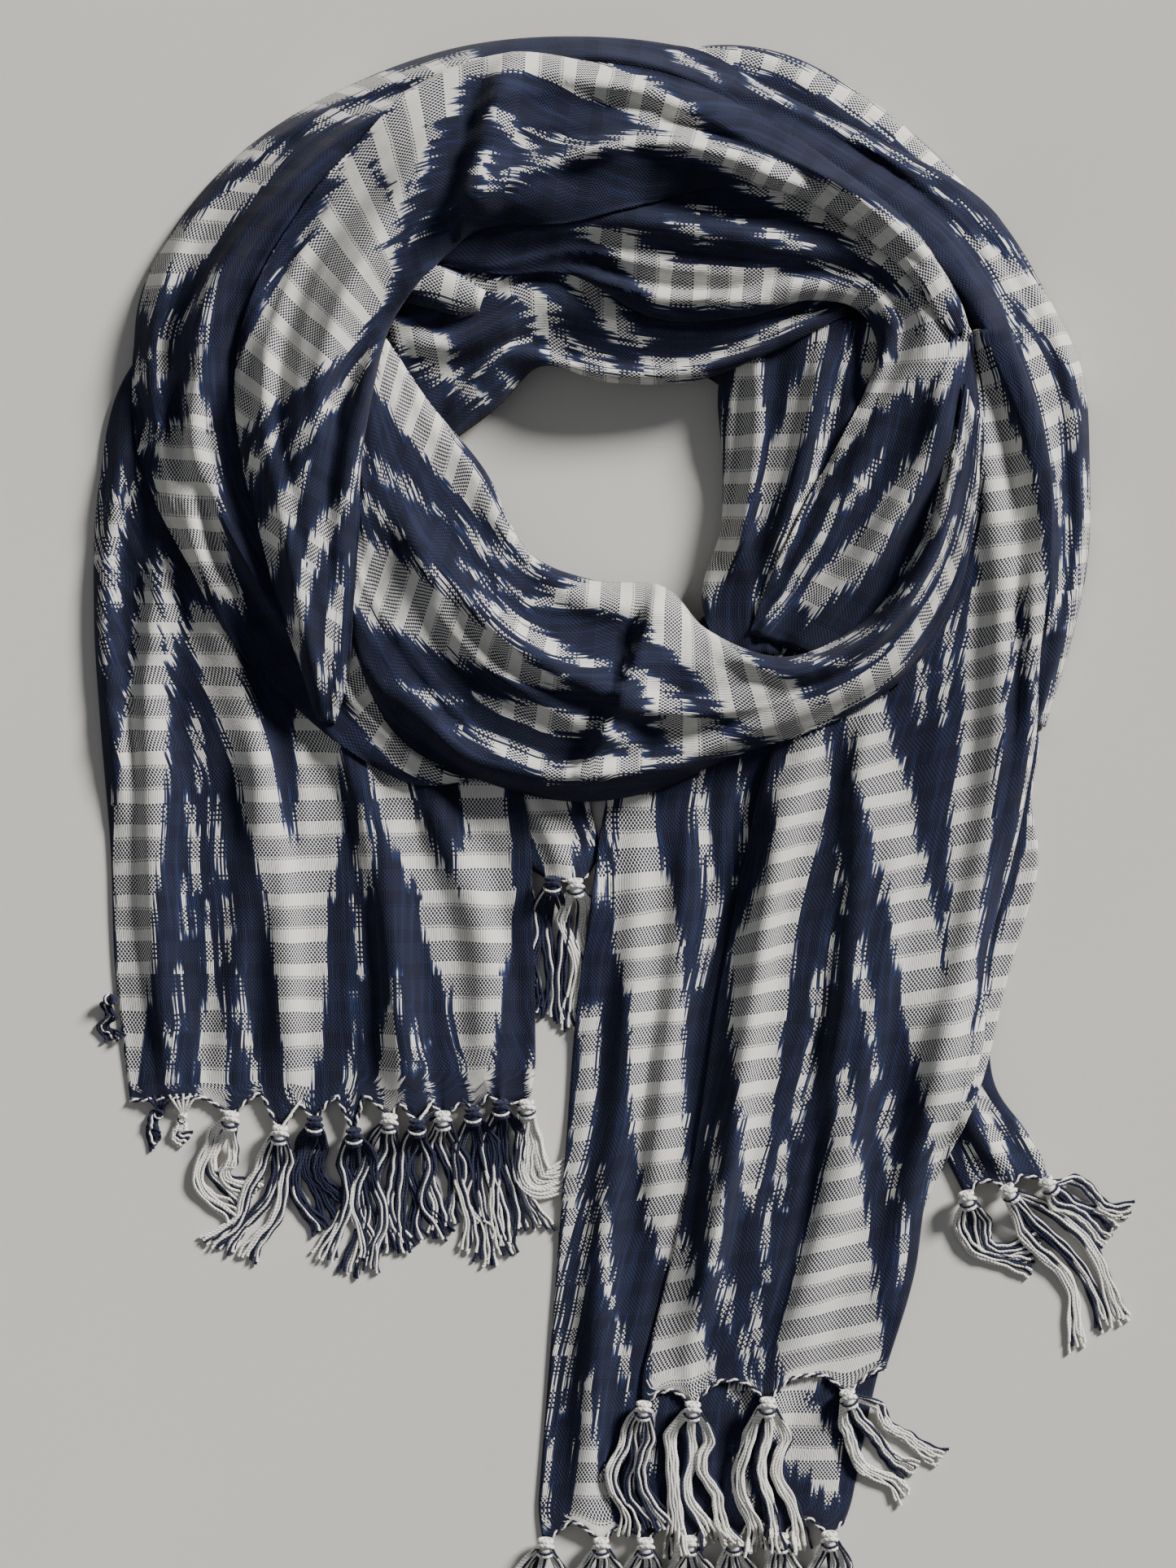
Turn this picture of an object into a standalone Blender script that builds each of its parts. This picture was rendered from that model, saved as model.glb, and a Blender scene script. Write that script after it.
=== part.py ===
"""A woven cotton stole with knotted fringe, laid on a table as if wound round a neck.

Each stretch that shows is one solid: a 2 mm cloth wall lofted through the sections of its table, draped over
what was laid before it. The heaped layers that nothing shows are one rounded ring under them. Each tassel is
one solid with its locks grown out of its knot. Tables are in millimetres seen from above: +X is the photo's
right, +Y its top, and +Z is up from the table.
"""

from dataclasses import dataclass
from typing import NamedTuple

import bpy
import numpy as np

MM = 0.001
WALL = 2.0  # thickness of a cloth wall
GAP = 0.3  # clear space between a solid and what it lies on
STEEPEST = 0.42  # least upward share of a normal that the wall's upright thickness follows
CELL_ALONG = 19.0  # size of a cell of a stretch's mesh
CELL_ACROSS = 9.0
GRID = 1.0  # pitch of the height map
REACH_X, REACH_Y = 245, 375  # half sides of the height map
EDGE_CLEAR = 1  # cells of the height map round a point that count as under it

KNOT_LONG, KNOT_WIDE, KNOT_HIGH = 5.2, 4.0, 3.3  # half sizes of a tassel's knot
LOCK_STEPS = 4  # sections along a lock
LOCK_THICK, LOCK_TIP = 1.6, 1.1  # radius of a lock at its root and at its tip
LOCK_PITCH = 2.3  # least distance between two locks, in radii
UPPER_LIFT = 2.6  # how far an upper lock starts above the others, in radii
NECK_OVER_HEM = 1.5  # how far the neck of a tassel reaches over the edge of its hem


class Section(NamedTuple):
    """One section across a stretch: the place and height of both edges, and how far the middle stands above them."""

    left_x: float
    left_y: float
    right_x: float
    right_y: float
    left_z: float
    right_z: float
    crown: float


class Fold(NamedTuple):
    """A ridge along a path of places, with its height and half width. The lean is the share of the width that
    the right side of the path loses to the left side."""

    height: float
    width: float
    lean: float
    path: tuple


class Layer(NamedTuple):
    """One section through the heap of hidden layers: its foot on the neck side and outside, and its height."""

    inner_x: float
    inner_y: float
    outer_x: float
    outer_y: float
    height: float


class Fringe(NamedTuple):
    """One tassel: the stretch whose hem it hangs from, the places of its knot, the middle of its locks and
    their tips, half the width they spread to, and the number of its locks: one, three or five."""

    name: str
    hem: str
    knot_x: float
    knot_y: float
    middle_x: float
    middle_y: float
    tip_x: float
    tip_y: float
    spread: float
    locks: int = 5


@dataclass(frozen=True)
class Stretch:
    """A stretch of cloth: its sections from one end to the other, its folds, and how full its edges are."""

    name: str
    sections: tuple
    folds: tuple = ()
    fullness: float = 0.55  # power of the crown: low makes a full rolled edge, high a flat one
    settling: int = 3  # rounds in which a step in what lies below is smoothed
    coarse: float = 1.0  # how much larger its cells are than the usual


HEAP = (
    #     inner x, y   outer x, y  height
    Layer(-3, 218, -3, 342, 20),
    Layer(27, 214, 64, 331, 20),
    Layer(53, 197, 150, 268, 20),
    Layer(57, 165, 188, 183, 19),
    Layer(51, 130, 176, 101, 18),
    Layer(34, 102, 107, 74, 18),
    Layer(-5, 109, -1, 40, 18),
    Layer(-40, 121, -54, 50, 18),
    Layer(-54, 148, -103, 78, 18),
    Layer(-68, 176, -176, 148, 19),
    Layer(-68, 204, -180, 226, 20),
    Layer(-40, 225, -110, 312, 20),
)

# Across the heap: the share of the way from its inner to its outer foot, and the share of its height. The
# zigzags at both sides are the edges of the layers.
HEAP_PROFILE = (
    (0.04, 0.00), (0.00, 0.10), (0.04, 0.22), (0.01, 0.34), (0.06, 0.46), (0.04, 0.58), (0.12, 0.78),
    (0.28, 0.94), (0.50, 1.00), (0.72, 0.94), (0.87, 0.74), (0.94, 0.52), (0.92, 0.40), (0.99, 0.24),
    (0.96, 0.14), (0.97, 0.00),
)

STRETCHES = (
    Stretch("right_flap", (
        Section(121, -41, 162, -48, 3, 3, 2),
        Section(125, -83, 164, -94, 3, 3, 3),
        Section(139, -118, 178, -115, 2, 2, 4),
        Section(149, -138, 189, -132, 2, 2, 3),
    ), folds=(
        Fold(2.5, 8, 0.0, ((140, -60), (148, -95), (160, -120), (172, -134))),
    )),
    Stretch("centre_flap", (
        Section(-68, 46, -13, 46, 3, 3, 2),
        Section(-61, 22, -9, 23, 3, 3, 2),
        Section(-46, 5, -6, 4, 2, 2, 3),
        Section(-31, -4, -9, -4, 2, 2, 4),
    ), folds=(
        Fold(2.5, 9, 0.0, ((-38, 35), (-26, 12), (-20, -3))),
    )),
    Stretch("left_tail", (
        Section(-188, 239, -148, 232, 3, 5, 2),
        Section(-211, 207, -148, 204, 3, 6, 3),
        Section(-221, 162, -138, 162, 2, 6, 4),
        Section(-223, 109, -98, 110, 2, 5, 4),
        Section(-220, 57, -50, 64, 2, 4, 4),
        Section(-216, 8, -37, 20, 2, 2, 4),
        Section(-214, -45, -34, -38, 2, 2, 3),
        Section(-207, -106, -33, -97, 2, 2, 1.5),
    ), folds=(
        Fold(4, 12, 0.3, ((-192, 155), (-199, 57), (-197, -13), (-190, -97))),
        Fold(3, 8, 0.0, ((-206, 197), (-217, 127), (-211, 22))),
        Fold(4, 13, -0.3, ((-181, 148), (-159, 74), (-143, 4), (-138, -97))),
        Fold(3.5, 12, 0.2, ((-159, 176), (-131, 92), (-106, 22), (-89, -97))),
        Fold(3.5, 12, 0.0, ((-124, 106), (-82, 36), (-57, -31), (-54, -94))),
    ), coarse=1.2),
    Stretch("right_under", (
        Section(16, 81, 170, 81, 3, 3, 2),
        Section(2, 46, 183, 55, 3, 3, 3),
        Section(-4, 22, 180, 28, 2, 2, 3),
        Section(-10, -20, 183, 1, 2, 2, 3),
        Section(-16, -66, 170, -48, 2, 2, 3),
        Section(-20, -118, 158, -94, 2, 2, 3),
        Section(-24, -171, 132, -153, 2, 2, 3),
        Section(-28, -223, 113, -223, 2, 2, 3),
        Section(-33, -287, 101, -283, 2, 2, 1.5),
    ), folds=(
        Fold(3.5, 11, 0.0, ((13, 22), (9, -31), (6, -83), (-3, -153), (-8, -223), (-12, -279))),
        Fold(3, 10, 0.2, ((34, 22), (29, -31), (22, -101), (16, -153))),
        Fold(3, 12, 0.0, ((70, -225), (62, -255), (60, -280))),
    ), coarse=1.3),
    Stretch("outer_under", (
        Section(13, 345, 16, 326, 2, 6, 3),
        Section(41, 352, 37, 330, 2, 7, 5),
        Section(72, 349, 62, 323, 2, 8, 5),
        Section(107, 331, 86, 305, 2, 8, 5),
        Section(139, 305, 114, 281, 2, 7, 4),
        Section(165, 277, 139, 256, 2, 6, 3),
    )),
    Stretch("outer_loop", (
        Section(-60, 36, -66, 52, 6, 8, 2),
        Section(-84, 34, -74, 66, 5, 9, 4),
        Section(-109, 46, -84, 80, 5, 11, 6),
        Section(-137, 68, -95, 94, 4, 13, 8),
        Section(-164, 97, -106, 108, 3, 15, 9),
        Section(-181, 127, -117, 128, 2.5, 17, 9),
        Section(-200, 165, -131, 157, 2.5, 19, 9),
        Section(-206, 218, -138, 207, 2.5, 20, 9),
        Section(-201, 251, -134, 246, 2.5, 21, 9),
        Section(-184, 280, -122, 270, 2.5, 22, 9),
        Section(-155, 310, -103, 296, 2.5, 22, 9),
        Section(-113, 335, -75, 314, 2.5, 22, 9),
        Section(-68, 351, -47, 323, 2.5, 22, 9),
        Section(-19, 356, -15, 323, 2.5, 22, 9),
        Section(34, 350, 20, 319, 4, 22, 9),
        Section(72, 330, 51, 302, 6, 22, 9),
        Section(114, 310, 83, 277, 6, 22, 9),
        Section(161, 283, 114, 253, 4, 22, 9),
        Section(188, 242, 139, 225, 2.5, 22, 9),
        Section(202, 211, 156, 190, 2.5, 20, 9),
        Section(205, 169, 168, 155, 2.5, 18, 9),
        Section(204, 130, 170, 120, 2.5, 16, 8),
        Section(196, 92, 172, 85, 2.5, 12, 6),
        Section(186, 59, 172, 60, 2.5, 6, 4),
    ), folds=(
        Fold(3, 7, 0.0, ((-47, 349), (-113, 327), (-159, 299), (-186, 263), (-197, 218), (-191, 172),
                         (-174, 130), (-145, 88))),
        Fold(3.5, 8, 0.2, ((-68, 333), (-113, 310), (-148, 280), (-172, 239), (-181, 197), (-167, 148),
                           (-141, 102))),
        Fold(3.5, 8, 0.0, ((-19, 351), (72, 324), (155, 280), (191, 225), (200, 165), (198, 120),
                           (186, 71))),
        Fold(4, 9, 0.2, ((2, 335), (72, 305), (128, 267), (165, 218), (184, 162), (187, 106))),
    )),
    Stretch("right_inner", (
        Section(51, 232, 114, 232, 18, 24, 3),
        Section(45, 204, 114, 204, 12, 24, 3),
        Section(47, 172, 104, 172, 8, 22, 4),
        Section(46, 144, 90, 144, 8, 20, 4),
        Section(38, 114, 76, 113, 10, 18, 3),
        Section(44, 90, 72, 90, 12, 14, 2),
    ), folds=(
        Fold(3, 7, 0.0, ((62, 221), (60, 176), (53, 127))),
        Fold(3, 8, 0.2, ((90, 221), (81, 176), (67, 127))),
    )),
    Stretch("top_lip", (
        Section(-99, 249, -85, 172, 22, 12, 3),
        Section(-75, 254, -65, 184, 24, 12, 4),
        Section(-54, 260, -48, 197, 25, 13, 5),
        Section(-36, 261, -33, 212, 26, 15, 5),
        Section(-5, 255, -3, 206, 26, 16, 5),
        Section(34, 246, 37, 207, 26, 16, 5),
        Section(65, 247, 67, 218, 26, 18, 4),
        Section(97, 250, 99, 234, 26, 22, 2),
    ), folds=(
        Fold(3.5, 8, -0.3, ((-68, 197), (-43, 218), (-19, 212), (16, 209), (51, 214), (83, 230))),
        Fold(3, 8, 0.0, ((-89, 225), (-68, 221), (-40, 232))),
    )),
    Stretch("right_over", (
        Section(132, 225, 168, 228, 24, 22, 2),
        Section(125, 183, 184, 181, 24, 16, 5),
        Section(107, 134, 186, 130, 20, 12, 7),
        Section(86, 85, 182, 85, 14, 9, 8),
        Section(67, 46, 181, 53, 9, 6, 7),
        Section(57, 4, 172, 4, 7, 4, 5),
        Section(50, -31, 162, -34, 6, 4, 4),
        Section(43, -69, 158, -80, 6, 4, 4),
        Section(38, -104, 147, -111, 6, 4, 4),
        Section(32, -139, 135, -141, 6, 4, 4),
        Section(24, -174, 130, -174, 6, 4, 4),
        Section(10, -228, 116, -221, 5, 4, 2),
    ), folds=(
        Fold(4, 11, 0.0, ((153, 204), (162, 155), (165, 92), (162, 22), (149, -48), (132, -118),
                          (118, -188))),
        Fold(4, 13, 0.3, ((107, 57), (104, -13), (97, -83), (90, -153), (72, -216))),
        Fold(4, 11, -0.2, ((86, 57), (72, 4), (58, -66), (48, -136), (34, -206))),
        Fold(3, 7, 0.0, ((178, 127), (177, 57), (169, 4))),
    ), coarse=1.15),
    Stretch("right_turn", (
        Section(-68, 280, -78, 256, 26, 25, 2),
        Section(-40, 288, -47, 251, 29, 25, 5),
        Section(-15, 301, -19, 251, 30, 26, 6),
        Section(10, 308, 16, 233, 30, 24, 8),
        Section(51, 303, 56, 233, 30, 24, 8),
        Section(97, 288, 84, 240, 30, 25, 8),
        Section(128, 267, 104, 236, 30, 26, 8),
        Section(147, 240, 112, 222, 30, 26, 8),
        Section(154, 207, 108, 204, 29, 24, 8),
        Section(155, 169, 96, 180, 28, 22, 8),
        Section(152, 134, 83, 155, 26, 21, 7),
        Section(142, 102, 69, 127, 22, 18, 5),
        Section(121, 76, 58, 99, 18, 16, 3),
    ), folds=(
        Fold(6, 10, 0.5, ((-64, 276), (-36, 283), (-13, 294), (11, 301), (48, 297), (97, 282), (126, 259),
                          (144, 232))),
        Fold(3, 9, 0.0, ((-40, 267), (-5, 272), (30, 270), (65, 263), (97, 256))),
        Fold(4, 9, -0.3, ((-12, 252), (16, 240), (51, 240), (84, 246), (108, 244), (118, 230), (114, 214),
                          (100, 197))),
        Fold(3.5, 9, 0.0, ((144, 218), (135, 176), (107, 130), (79, 99))),
        Fold(3, 9, 0.2, ((128, 214), (107, 176), (83, 127))),
    )),
    Stretch("tucked_roll", (
        Section(-90, 256, -92, 240, 25, 25, 3),
        Section(-74, 255, -78, 237, 26, 26, 6),
        Section(-62, 250, -66, 234, 26, 26, 6),
        Section(-54, 244, -57, 236, 26, 26, 4),
    ), fullness=0.5),
    Stretch("front_swag", (
        Section(-99, 228, -115, 148, 24, 24, 6),
        Section(-78, 197, -111, 95, 20, 16, 10),
        Section(-55, 169, -92, 55, 16, 8, 14),
        Section(-34, 132, -54, 35, 14, 6, 16),
        Section(-8, 122, -19, 27, 12, 6, 17),
        Section(22, 119, 16, 31, 12, 6, 17),
        Section(41, 100, 51, 46, 14, 8, 16),
        Section(76, 89, 90, 59, 18, 12, 12),
        Section(107, 104, 117, 74, 24, 16, 8),
        Section(130, 137, 141, 104, 28, 20, 6),
        Section(144, 176, 154, 148, 30, 24, 4),
        Section(149, 204, 156, 186, 30, 26, 2),
    ), folds=(
        Fold(5, 11, 0.6, ((19, 118), (7, 81), (-13, 40))),
        Fold(4.5, 9, 0.2, ((-99, 78), (-57, 44), (-19, 36), (16, 40), (51, 54), (90, 68), (118, 84),
                           (141, 116))),
        Fold(4, 8, 0.0, ((44, 93), (76, 82), (107, 94), (132, 127), (147, 169))),
        Fold(3.5, 11, 0.0, ((-68, 185), (-40, 141), (-12, 114), (16, 110))),
        Fold(3, 12, 0.0, ((-89, 148), (-54, 106), (-19, 81), (6, 74))),
    )),
    Stretch("left_roll", (
        Section(149, 228, 144, 223, 32, 32, 1),
        Section(132, 263, 120, 254, 31, 31, 3),
        Section(100, 293, 86, 279, 29, 30, 5),
        Section(62, 319, 51, 288, 26, 29, 7),
        Section(27, 335, 16, 281, 24, 28, 9),
        Section(-8, 342, -19, 272, 24, 28, 10),
        Section(-47, 346, -55, 270, 23, 28, 11),
        Section(-82, 333, -72, 258, 23, 28, 11),
        Section(-110, 305, -85, 244, 22, 28, 10),
        Section(-134, 277, -95, 228, 22, 27, 10),
        Section(-152, 246, -102, 200, 22, 26, 10),
        Section(-161, 211, -107, 169, 21, 25, 10),
        Section(-159, 176, -108, 141, 21, 24, 9),
        Section(-151, 144, -110, 116, 20, 22, 8),
        Section(-143, 113, -112, 92, 18, 20, 7),
        Section(-134, 85, -115, 72, 15, 17, 5),
        Section(-127, 62, -119, 60, 13, 14, 2),
    ), folds=(
        Fold(6, 13, 0.3, ((-45, 341), (-54, 309), (-64, 274))),
        Fold(4, 9, 0.4, ((-40, 337), (2, 330), (51, 311), (100, 284), (132, 256))),
        Fold(4, 14, 0.0, ((-68, 309), (-110, 256), (-131, 190), (-129, 127), (-124, 74))),
        Fold(3, 8, 0.0, ((-148, 225), (-146, 176), (-136, 127), (-127, 78))),
        Fold(3, 7, 0.0, ((-99, 225), (-113, 176), (-116, 120))),
    )),
)

TASSELS = (
    #                                         knot x, y   middle x, y  tips x, y  spread
    Fringe("left_tassel_1",     "left_tail",    -164, -110, -172, -131, -157, -149,    6, 3),
    Fringe("left_tassel_2",     "left_tail",    -143, -116, -149, -142, -166, -169,    7),
    Fringe("left_tassel_3",     "left_tail",    -128, -112, -131, -134, -119, -154,    6, 3),
    Fringe("left_tassel_4",     "left_tail",    -111, -117, -108, -149, -113, -178,    8),
    Fringe("left_tassel_5",     "left_tail",     -96, -111, -103, -141,  -97, -170,    7),
    Fringe("left_tassel_6",     "left_tail",     -84, -113,  -86, -141,  -80, -167,    6),
    Fringe("left_tassel_7",     "left_tail",     -73, -110,  -71, -135,  -66, -158,    7),
    Fringe("left_tassel_8",     "left_tail",     -60, -108,  -57, -140,  -55, -173,    7),
    Fringe("left_tassel_9",     "left_tail",     -48, -105,  -45, -133,  -39, -165,    7),
    Fringe("left_tassel_10",    "left_tail",     -37, -105,  -32, -136,  -13, -130,    4, 3),
    Fringe("left_peek_tassel",  "left_tail",    -218,  -58, -220,  -68, -218,  -79,    4, 1),
    Fringe("centre_tassel_1",   "centre_flap",   -26,   -9,  -28,  -38,  -27,  -70,    6),
    Fringe("centre_tassel_2",   "centre_flap",   -16,  -10,  -11,  -40,   -8,  -71,    7),
    Fringe("flap_tassel_1",     "right_flap",    152, -144,  158, -164,  184, -168,    4, 3),
    Fringe("flap_tassel_2",     "right_flap",    170, -141,  194, -165,  214, -208,    8),
    Fringe("flap_tassel_3",     "right_flap",    187, -138,  203, -147,  220, -157,    6, 3),
    Fringe("under_tassel_1",    "right_under",   -29, -293,  -33, -322,  -37, -353,    8),
    Fringe("under_tassel_2",    "right_under",    -5, -293,   -6, -322,   -8, -355,    8),
    Fringe("under_tassel_3",    "right_under",    14, -293,   13, -324,   16, -356,    7),
    Fringe("under_tassel_4",    "right_under",    33, -292,   34, -322,   33, -354,    7),
    Fringe("under_tassel_5",    "right_under",    52, -292,   53, -324,   56, -355,    7),
    Fringe("under_tassel_6",    "right_under",    72, -291,   74, -322,   76, -353,    7),
    Fringe("under_tassel_7",    "right_under",    93, -290,   96, -320,  101, -350,    8),
    Fringe("over_tassel_1",     "right_over",     13, -234,    7, -260,   16, -290,    6),
    Fringe("over_tassel_2",     "right_over",     34, -234,   32, -264,   42, -296,    9),
    Fringe("over_tassel_3",     "right_over",     66, -232,   64, -262,   72, -297,    9),
    Fringe("over_tassel_4",     "right_over",    101, -229,  113, -248,  134, -265,   10),
)


def splined(rows, count, closed=False):
    """The rows as `count` rows evenly spaced along a smooth curve through them."""
    rows = np.asarray(rows, float)
    around = len(rows)
    if closed:
        rows = np.vstack([rows[-2:], rows, rows[:3]])
    places = rows[:, :4] if rows.shape[1] >= 4 else rows[:, :2]
    gaps = np.maximum(np.linalg.norm(np.diff(places, axis=0), axis=1), 1e-6)
    knots = np.concatenate([[0.0], np.cumsum(gaps)])
    slopes = np.diff(rows, axis=0) / gaps[:, None]
    before, after = gaps[:-1, None], gaps[1:, None]
    tangents = np.vstack([slopes[:1], (slopes[:-1] * after + slopes[1:] * before) / (before + after), slopes[-1:]])
    if closed:
        wanted = np.linspace(knots[2], knots[2 + around], count, endpoint=False)
    else:
        wanted = np.linspace(knots[0], knots[-1], count)
    left = np.clip(np.searchsorted(knots, wanted, side="right") - 1, 0, len(gaps) - 1)
    gap = gaps[left][:, None]
    u = (wanted - knots[left])[:, None] / gap
    return (
        (2 * u**3 - 3 * u**2 + 1) * rows[left]
        + (u**3 - 2 * u**2 + u) * gap * tangents[left]
        + (3 * u**2 - 2 * u**3) * rows[left + 1]
        + (u**3 - u**2) * gap * tangents[left + 1]
    )


class Table:
    """The table top and how high everything laid on it so far stands, on a grid."""

    def __init__(self):
        self.top = np.zeros((2 * REACH_X + 1, 2 * REACH_Y + 1))

    def column(self, xy):
        """Grid indices of the places nearest to xy."""
        i = np.clip(np.rint((xy[..., 0] + REACH_X) / GRID).astype(int), 0, self.top.shape[0] - 1)
        j = np.clip(np.rint((xy[..., 1] + REACH_Y) / GRID).astype(int), 0, self.top.shape[1] - 1)
        return i, j

    def crossed(self, corners):
        """Indices and heights of one triangle over the grid places that it covers."""
        (ax, ay, az), (bx, by, bz), (cx, cy, cz) = corners
        area = (bx - ax) * (cy - ay) - (cx - ax) * (by - ay)
        if abs(area) < 1e-9:
            return np.empty(0, int), np.empty(0, int), np.empty(0)
        i = np.arange(int(np.floor(min(ax, bx, cx))) + REACH_X, int(np.ceil(max(ax, bx, cx))) + REACH_X + 1)
        j = np.arange(int(np.floor(min(ay, by, cy))) + REACH_Y, int(np.ceil(max(ay, by, cy))) + REACH_Y + 1)
        i, j = (index.ravel() for index in np.meshgrid(i, j, indexing="ij"))
        x, y = i - REACH_X, j - REACH_Y
        b = ((x - ax) * (cy - ay) - (cx - ax) * (y - ay)) / area
        c = ((bx - ax) * (y - ay) - (x - ax) * (by - ay)) / area
        inside = (b >= -1e-6) & (c >= -1e-6) & (b + c <= 1 + 1e-6)
        return i[inside], j[inside], (az + b * (bz - az) + c * (cz - az))[inside]

    def lay(self, points, triangles):
        """Adds a finished solid."""
        for corners in points[triangles]:
            i, j, z = self.crossed(corners)
            np.maximum.at(self.top, (i, j), z)

    def spread(self, cells):
        """The highest point within so many cells of each place."""
        wide = self.top.copy()
        for di in range(-cells, cells + 1):
            for dj in range(-cells, cells + 1):
                wide = np.maximum(wide, np.roll(self.top, (di, dj), axis=(0, 1)))
        return np.where(wide > 0, wide + GAP, 0.0)

    def lifted(self, points, triangles, groups=()):
        """Heights for the points at which every triangle clears what lies below it. The points of a group rise
        together."""
        support = self.spread(EDGE_CLEAR)
        raise_by = np.zeros(len(points))
        for triangle in triangles:
            i, j, z = self.crossed(points[triangle])
            if len(z):
                raise_by[triangle] = np.maximum(raise_by[triangle], (support[i, j] - z).max())
        for group in groups:
            raise_by[group] = raise_by[group].max()
        return points[:, 2] + raise_by


def ridge(fold, xy):
    """How high one fold stands at each place."""
    path = splined(fold.path, 8 * len(fold.path))
    nearest = np.full(xy.shape[:-1], np.inf)
    side, along = np.zeros_like(nearest), np.zeros_like(nearest)
    for n, (start, end) in enumerate(zip(path[:-1], path[1:])):
        step = end - start
        share = np.clip(((xy - start) @ step) / (step @ step), 0, 1)
        away = xy - start - share[..., None] * step
        distance = np.linalg.norm(away, axis=-1)
        closer = distance < nearest
        nearest = np.where(closer, distance, nearest)
        side = np.where(closer, np.sign(step[0] * away[..., 1] - step[1] * away[..., 0]), side)
        along = np.where(closer, (n + share) / (len(path) - 1), along)
    width = fold.width * (1 + side * fold.lean)
    shape = 0.5 + 0.5 * np.cos(np.pi * np.clip(nearest / width, 0, 1))
    fade = np.clip(np.minimum(along, 1 - along) / 0.12, 0, 1)
    return fold.height * shape * (0.35 + 0.65 * fade)


def triangles_of(rows, columns):
    """The triangles of a grid of points, facing up where rows run along it and columns to its right."""
    a = np.arange(rows - 1)[:, None] * columns + np.arange(columns - 1)
    first = np.stack([a, a + 1, a + columns + 1], axis=-1).reshape(-1, 3)
    second = np.stack([a, a + columns + 1, a + columns], axis=-1).reshape(-1, 3)
    return np.vstack([first, second])


def facing_up(xy):
    """True where the grid's own order of points gives faces that look up."""
    along, across = xy[1, 0] - xy[0, 0], xy[0, 1] - xy[0, 0]
    return across[0] * along[1] - across[1] * along[0] > 0


def cloth(stretch, table):
    """The closed wall of one stretch: (points, triangles), with its points in the order of the grid, first the
    underside and then the upper side, and the upper side's outline."""
    rough = splined(stretch.sections, 200)
    middle = (rough[:, 0:2] + rough[:, 2:4]) / 2
    length = np.linalg.norm(np.diff(middle, axis=0), axis=1).sum()
    width = np.linalg.norm(rough[:, 2:4] - rough[:, 0:2], axis=1).max()
    rows = max(4, round(length / (CELL_ALONG * stretch.coarse)) + 1)
    columns = max(5, round(width / (CELL_ACROSS * stretch.coarse)) + 1)
    lines = splined(stretch.sections, rows)
    even = np.linspace(0, 1, columns)
    across = 0.5 * even + 0.25 * (1 - np.cos(np.pi * even))  # cells are narrower near both edges

    share = across[None, :, None]
    xy = lines[:, None, 0:2] * (1 - share) + lines[:, None, 2:4] * share
    base = lines[:, 4:5] * (1 - across) + lines[:, 5:6] * across
    base = base + lines[:, 6:7] * (4 * across * (1 - across)) ** stretch.fullness - WALL
    base = np.maximum(base, 0)

    i, j = table.column(xy)
    need = np.maximum(table.spread(EDGE_CLEAR)[i, j] - base, 0)
    excess = need.copy()
    for _ in range(stretch.settling):
        padded = np.pad(excess, 1, mode="edge")
        near = padded[2:, 1:-1] + padded[:-2, 1:-1] + padded[1:-1, 2:] + padded[1:-1, :-2]
        excess = np.maximum(need, 0.5 * excess + 0.125 * near)
    folds = sum((ridge(fold, xy) for fold in stretch.folds), np.zeros_like(base))

    under = np.concatenate([xy, (base + excess + folds)[..., None]], axis=-1).reshape(-1, 3)
    sheet = triangles_of(rows, columns)
    if not facing_up(xy):
        sheet = sheet[:, ::-1]
    under[:, 2] = table.lifted(under, sheet)
    normals = np.zeros_like(under)
    faces = np.cross(under[sheet[:, 1]] - under[sheet[:, 0]], under[sheet[:, 2]] - under[sheet[:, 0]])
    for corner in range(3):
        np.add.at(normals, sheet[:, corner], faces)
    upward = normals[:, 2] / np.linalg.norm(normals, axis=1)
    over = under.copy()
    over[:, 2] += WALL / np.maximum(upward, STEEPEST)

    index = np.arange(rows * columns).reshape(rows, columns)
    rim = np.concatenate([index[0, :-1], index[:-1, -1], index[-1, :0:-1], index[:0:-1, 0]])
    if facing_up(xy):
        rim = rim[::-1]
    after = np.roll(rim, -1)
    count = rows * columns
    walls = np.vstack([
        np.stack([rim, rim + count, after + count], axis=-1),
        np.stack([rim, after + count, after], axis=-1),
    ])
    return np.vstack([under, over]), np.vstack([sheet[:, ::-1], sheet + count, walls]), over[rim]


def heap():
    """The closed ring of hidden layers: (points, triangles)."""
    around = 38
    sections = splined(HEAP, around, closed=True)
    profile = np.array(HEAP_PROFILE)
    share = profile[None, :, 0:1]
    xy = sections[:, None, 0:2] * (1 - share) + sections[:, None, 2:4] * share
    z = sections[:, None, 4:5] * profile[None, :, 1:2]
    points = np.concatenate([xy, z], axis=-1).reshape(-1, 3)
    steps = len(profile)
    a = np.arange(around)[:, None] * steps + np.arange(steps)
    b = np.arange(around)[:, None] * steps + (np.arange(steps) + 1) % steps
    c = np.roll(b, -1, axis=0)
    d = np.roll(a, -1, axis=0)
    triangles = np.vstack([np.stack([a, c, b], axis=-1).reshape(-1, 3), np.stack([a, d, c], axis=-1).reshape(-1, 3)])
    return points, triangles


def icosahedron():
    """A ball of 20 faces whose poles lie on the x axis: (points, triangles)."""
    rings = []
    for x, turn in ((0.447, 0.0), (-0.447, 36.0)):
        angles = np.radians(np.arange(5) * 72.0 + turn + 90.0)
        rings.append(np.stack([np.full(5, x), 0.894 * np.cos(angles), 0.894 * np.sin(angles)], axis=-1))
    points = np.vstack([[[1, 0, 0]], rings[0], rings[1], [[-1, 0, 0]]])
    faces = []
    for n in range(5):
        m = (n + 1) % 5
        faces += [(0, 1 + n, 1 + m), (1 + n, 6 + n, 1 + m), (1 + m, 6 + n, 6 + m), (11, 6 + m, 6 + n)]
    return points, faces


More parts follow.
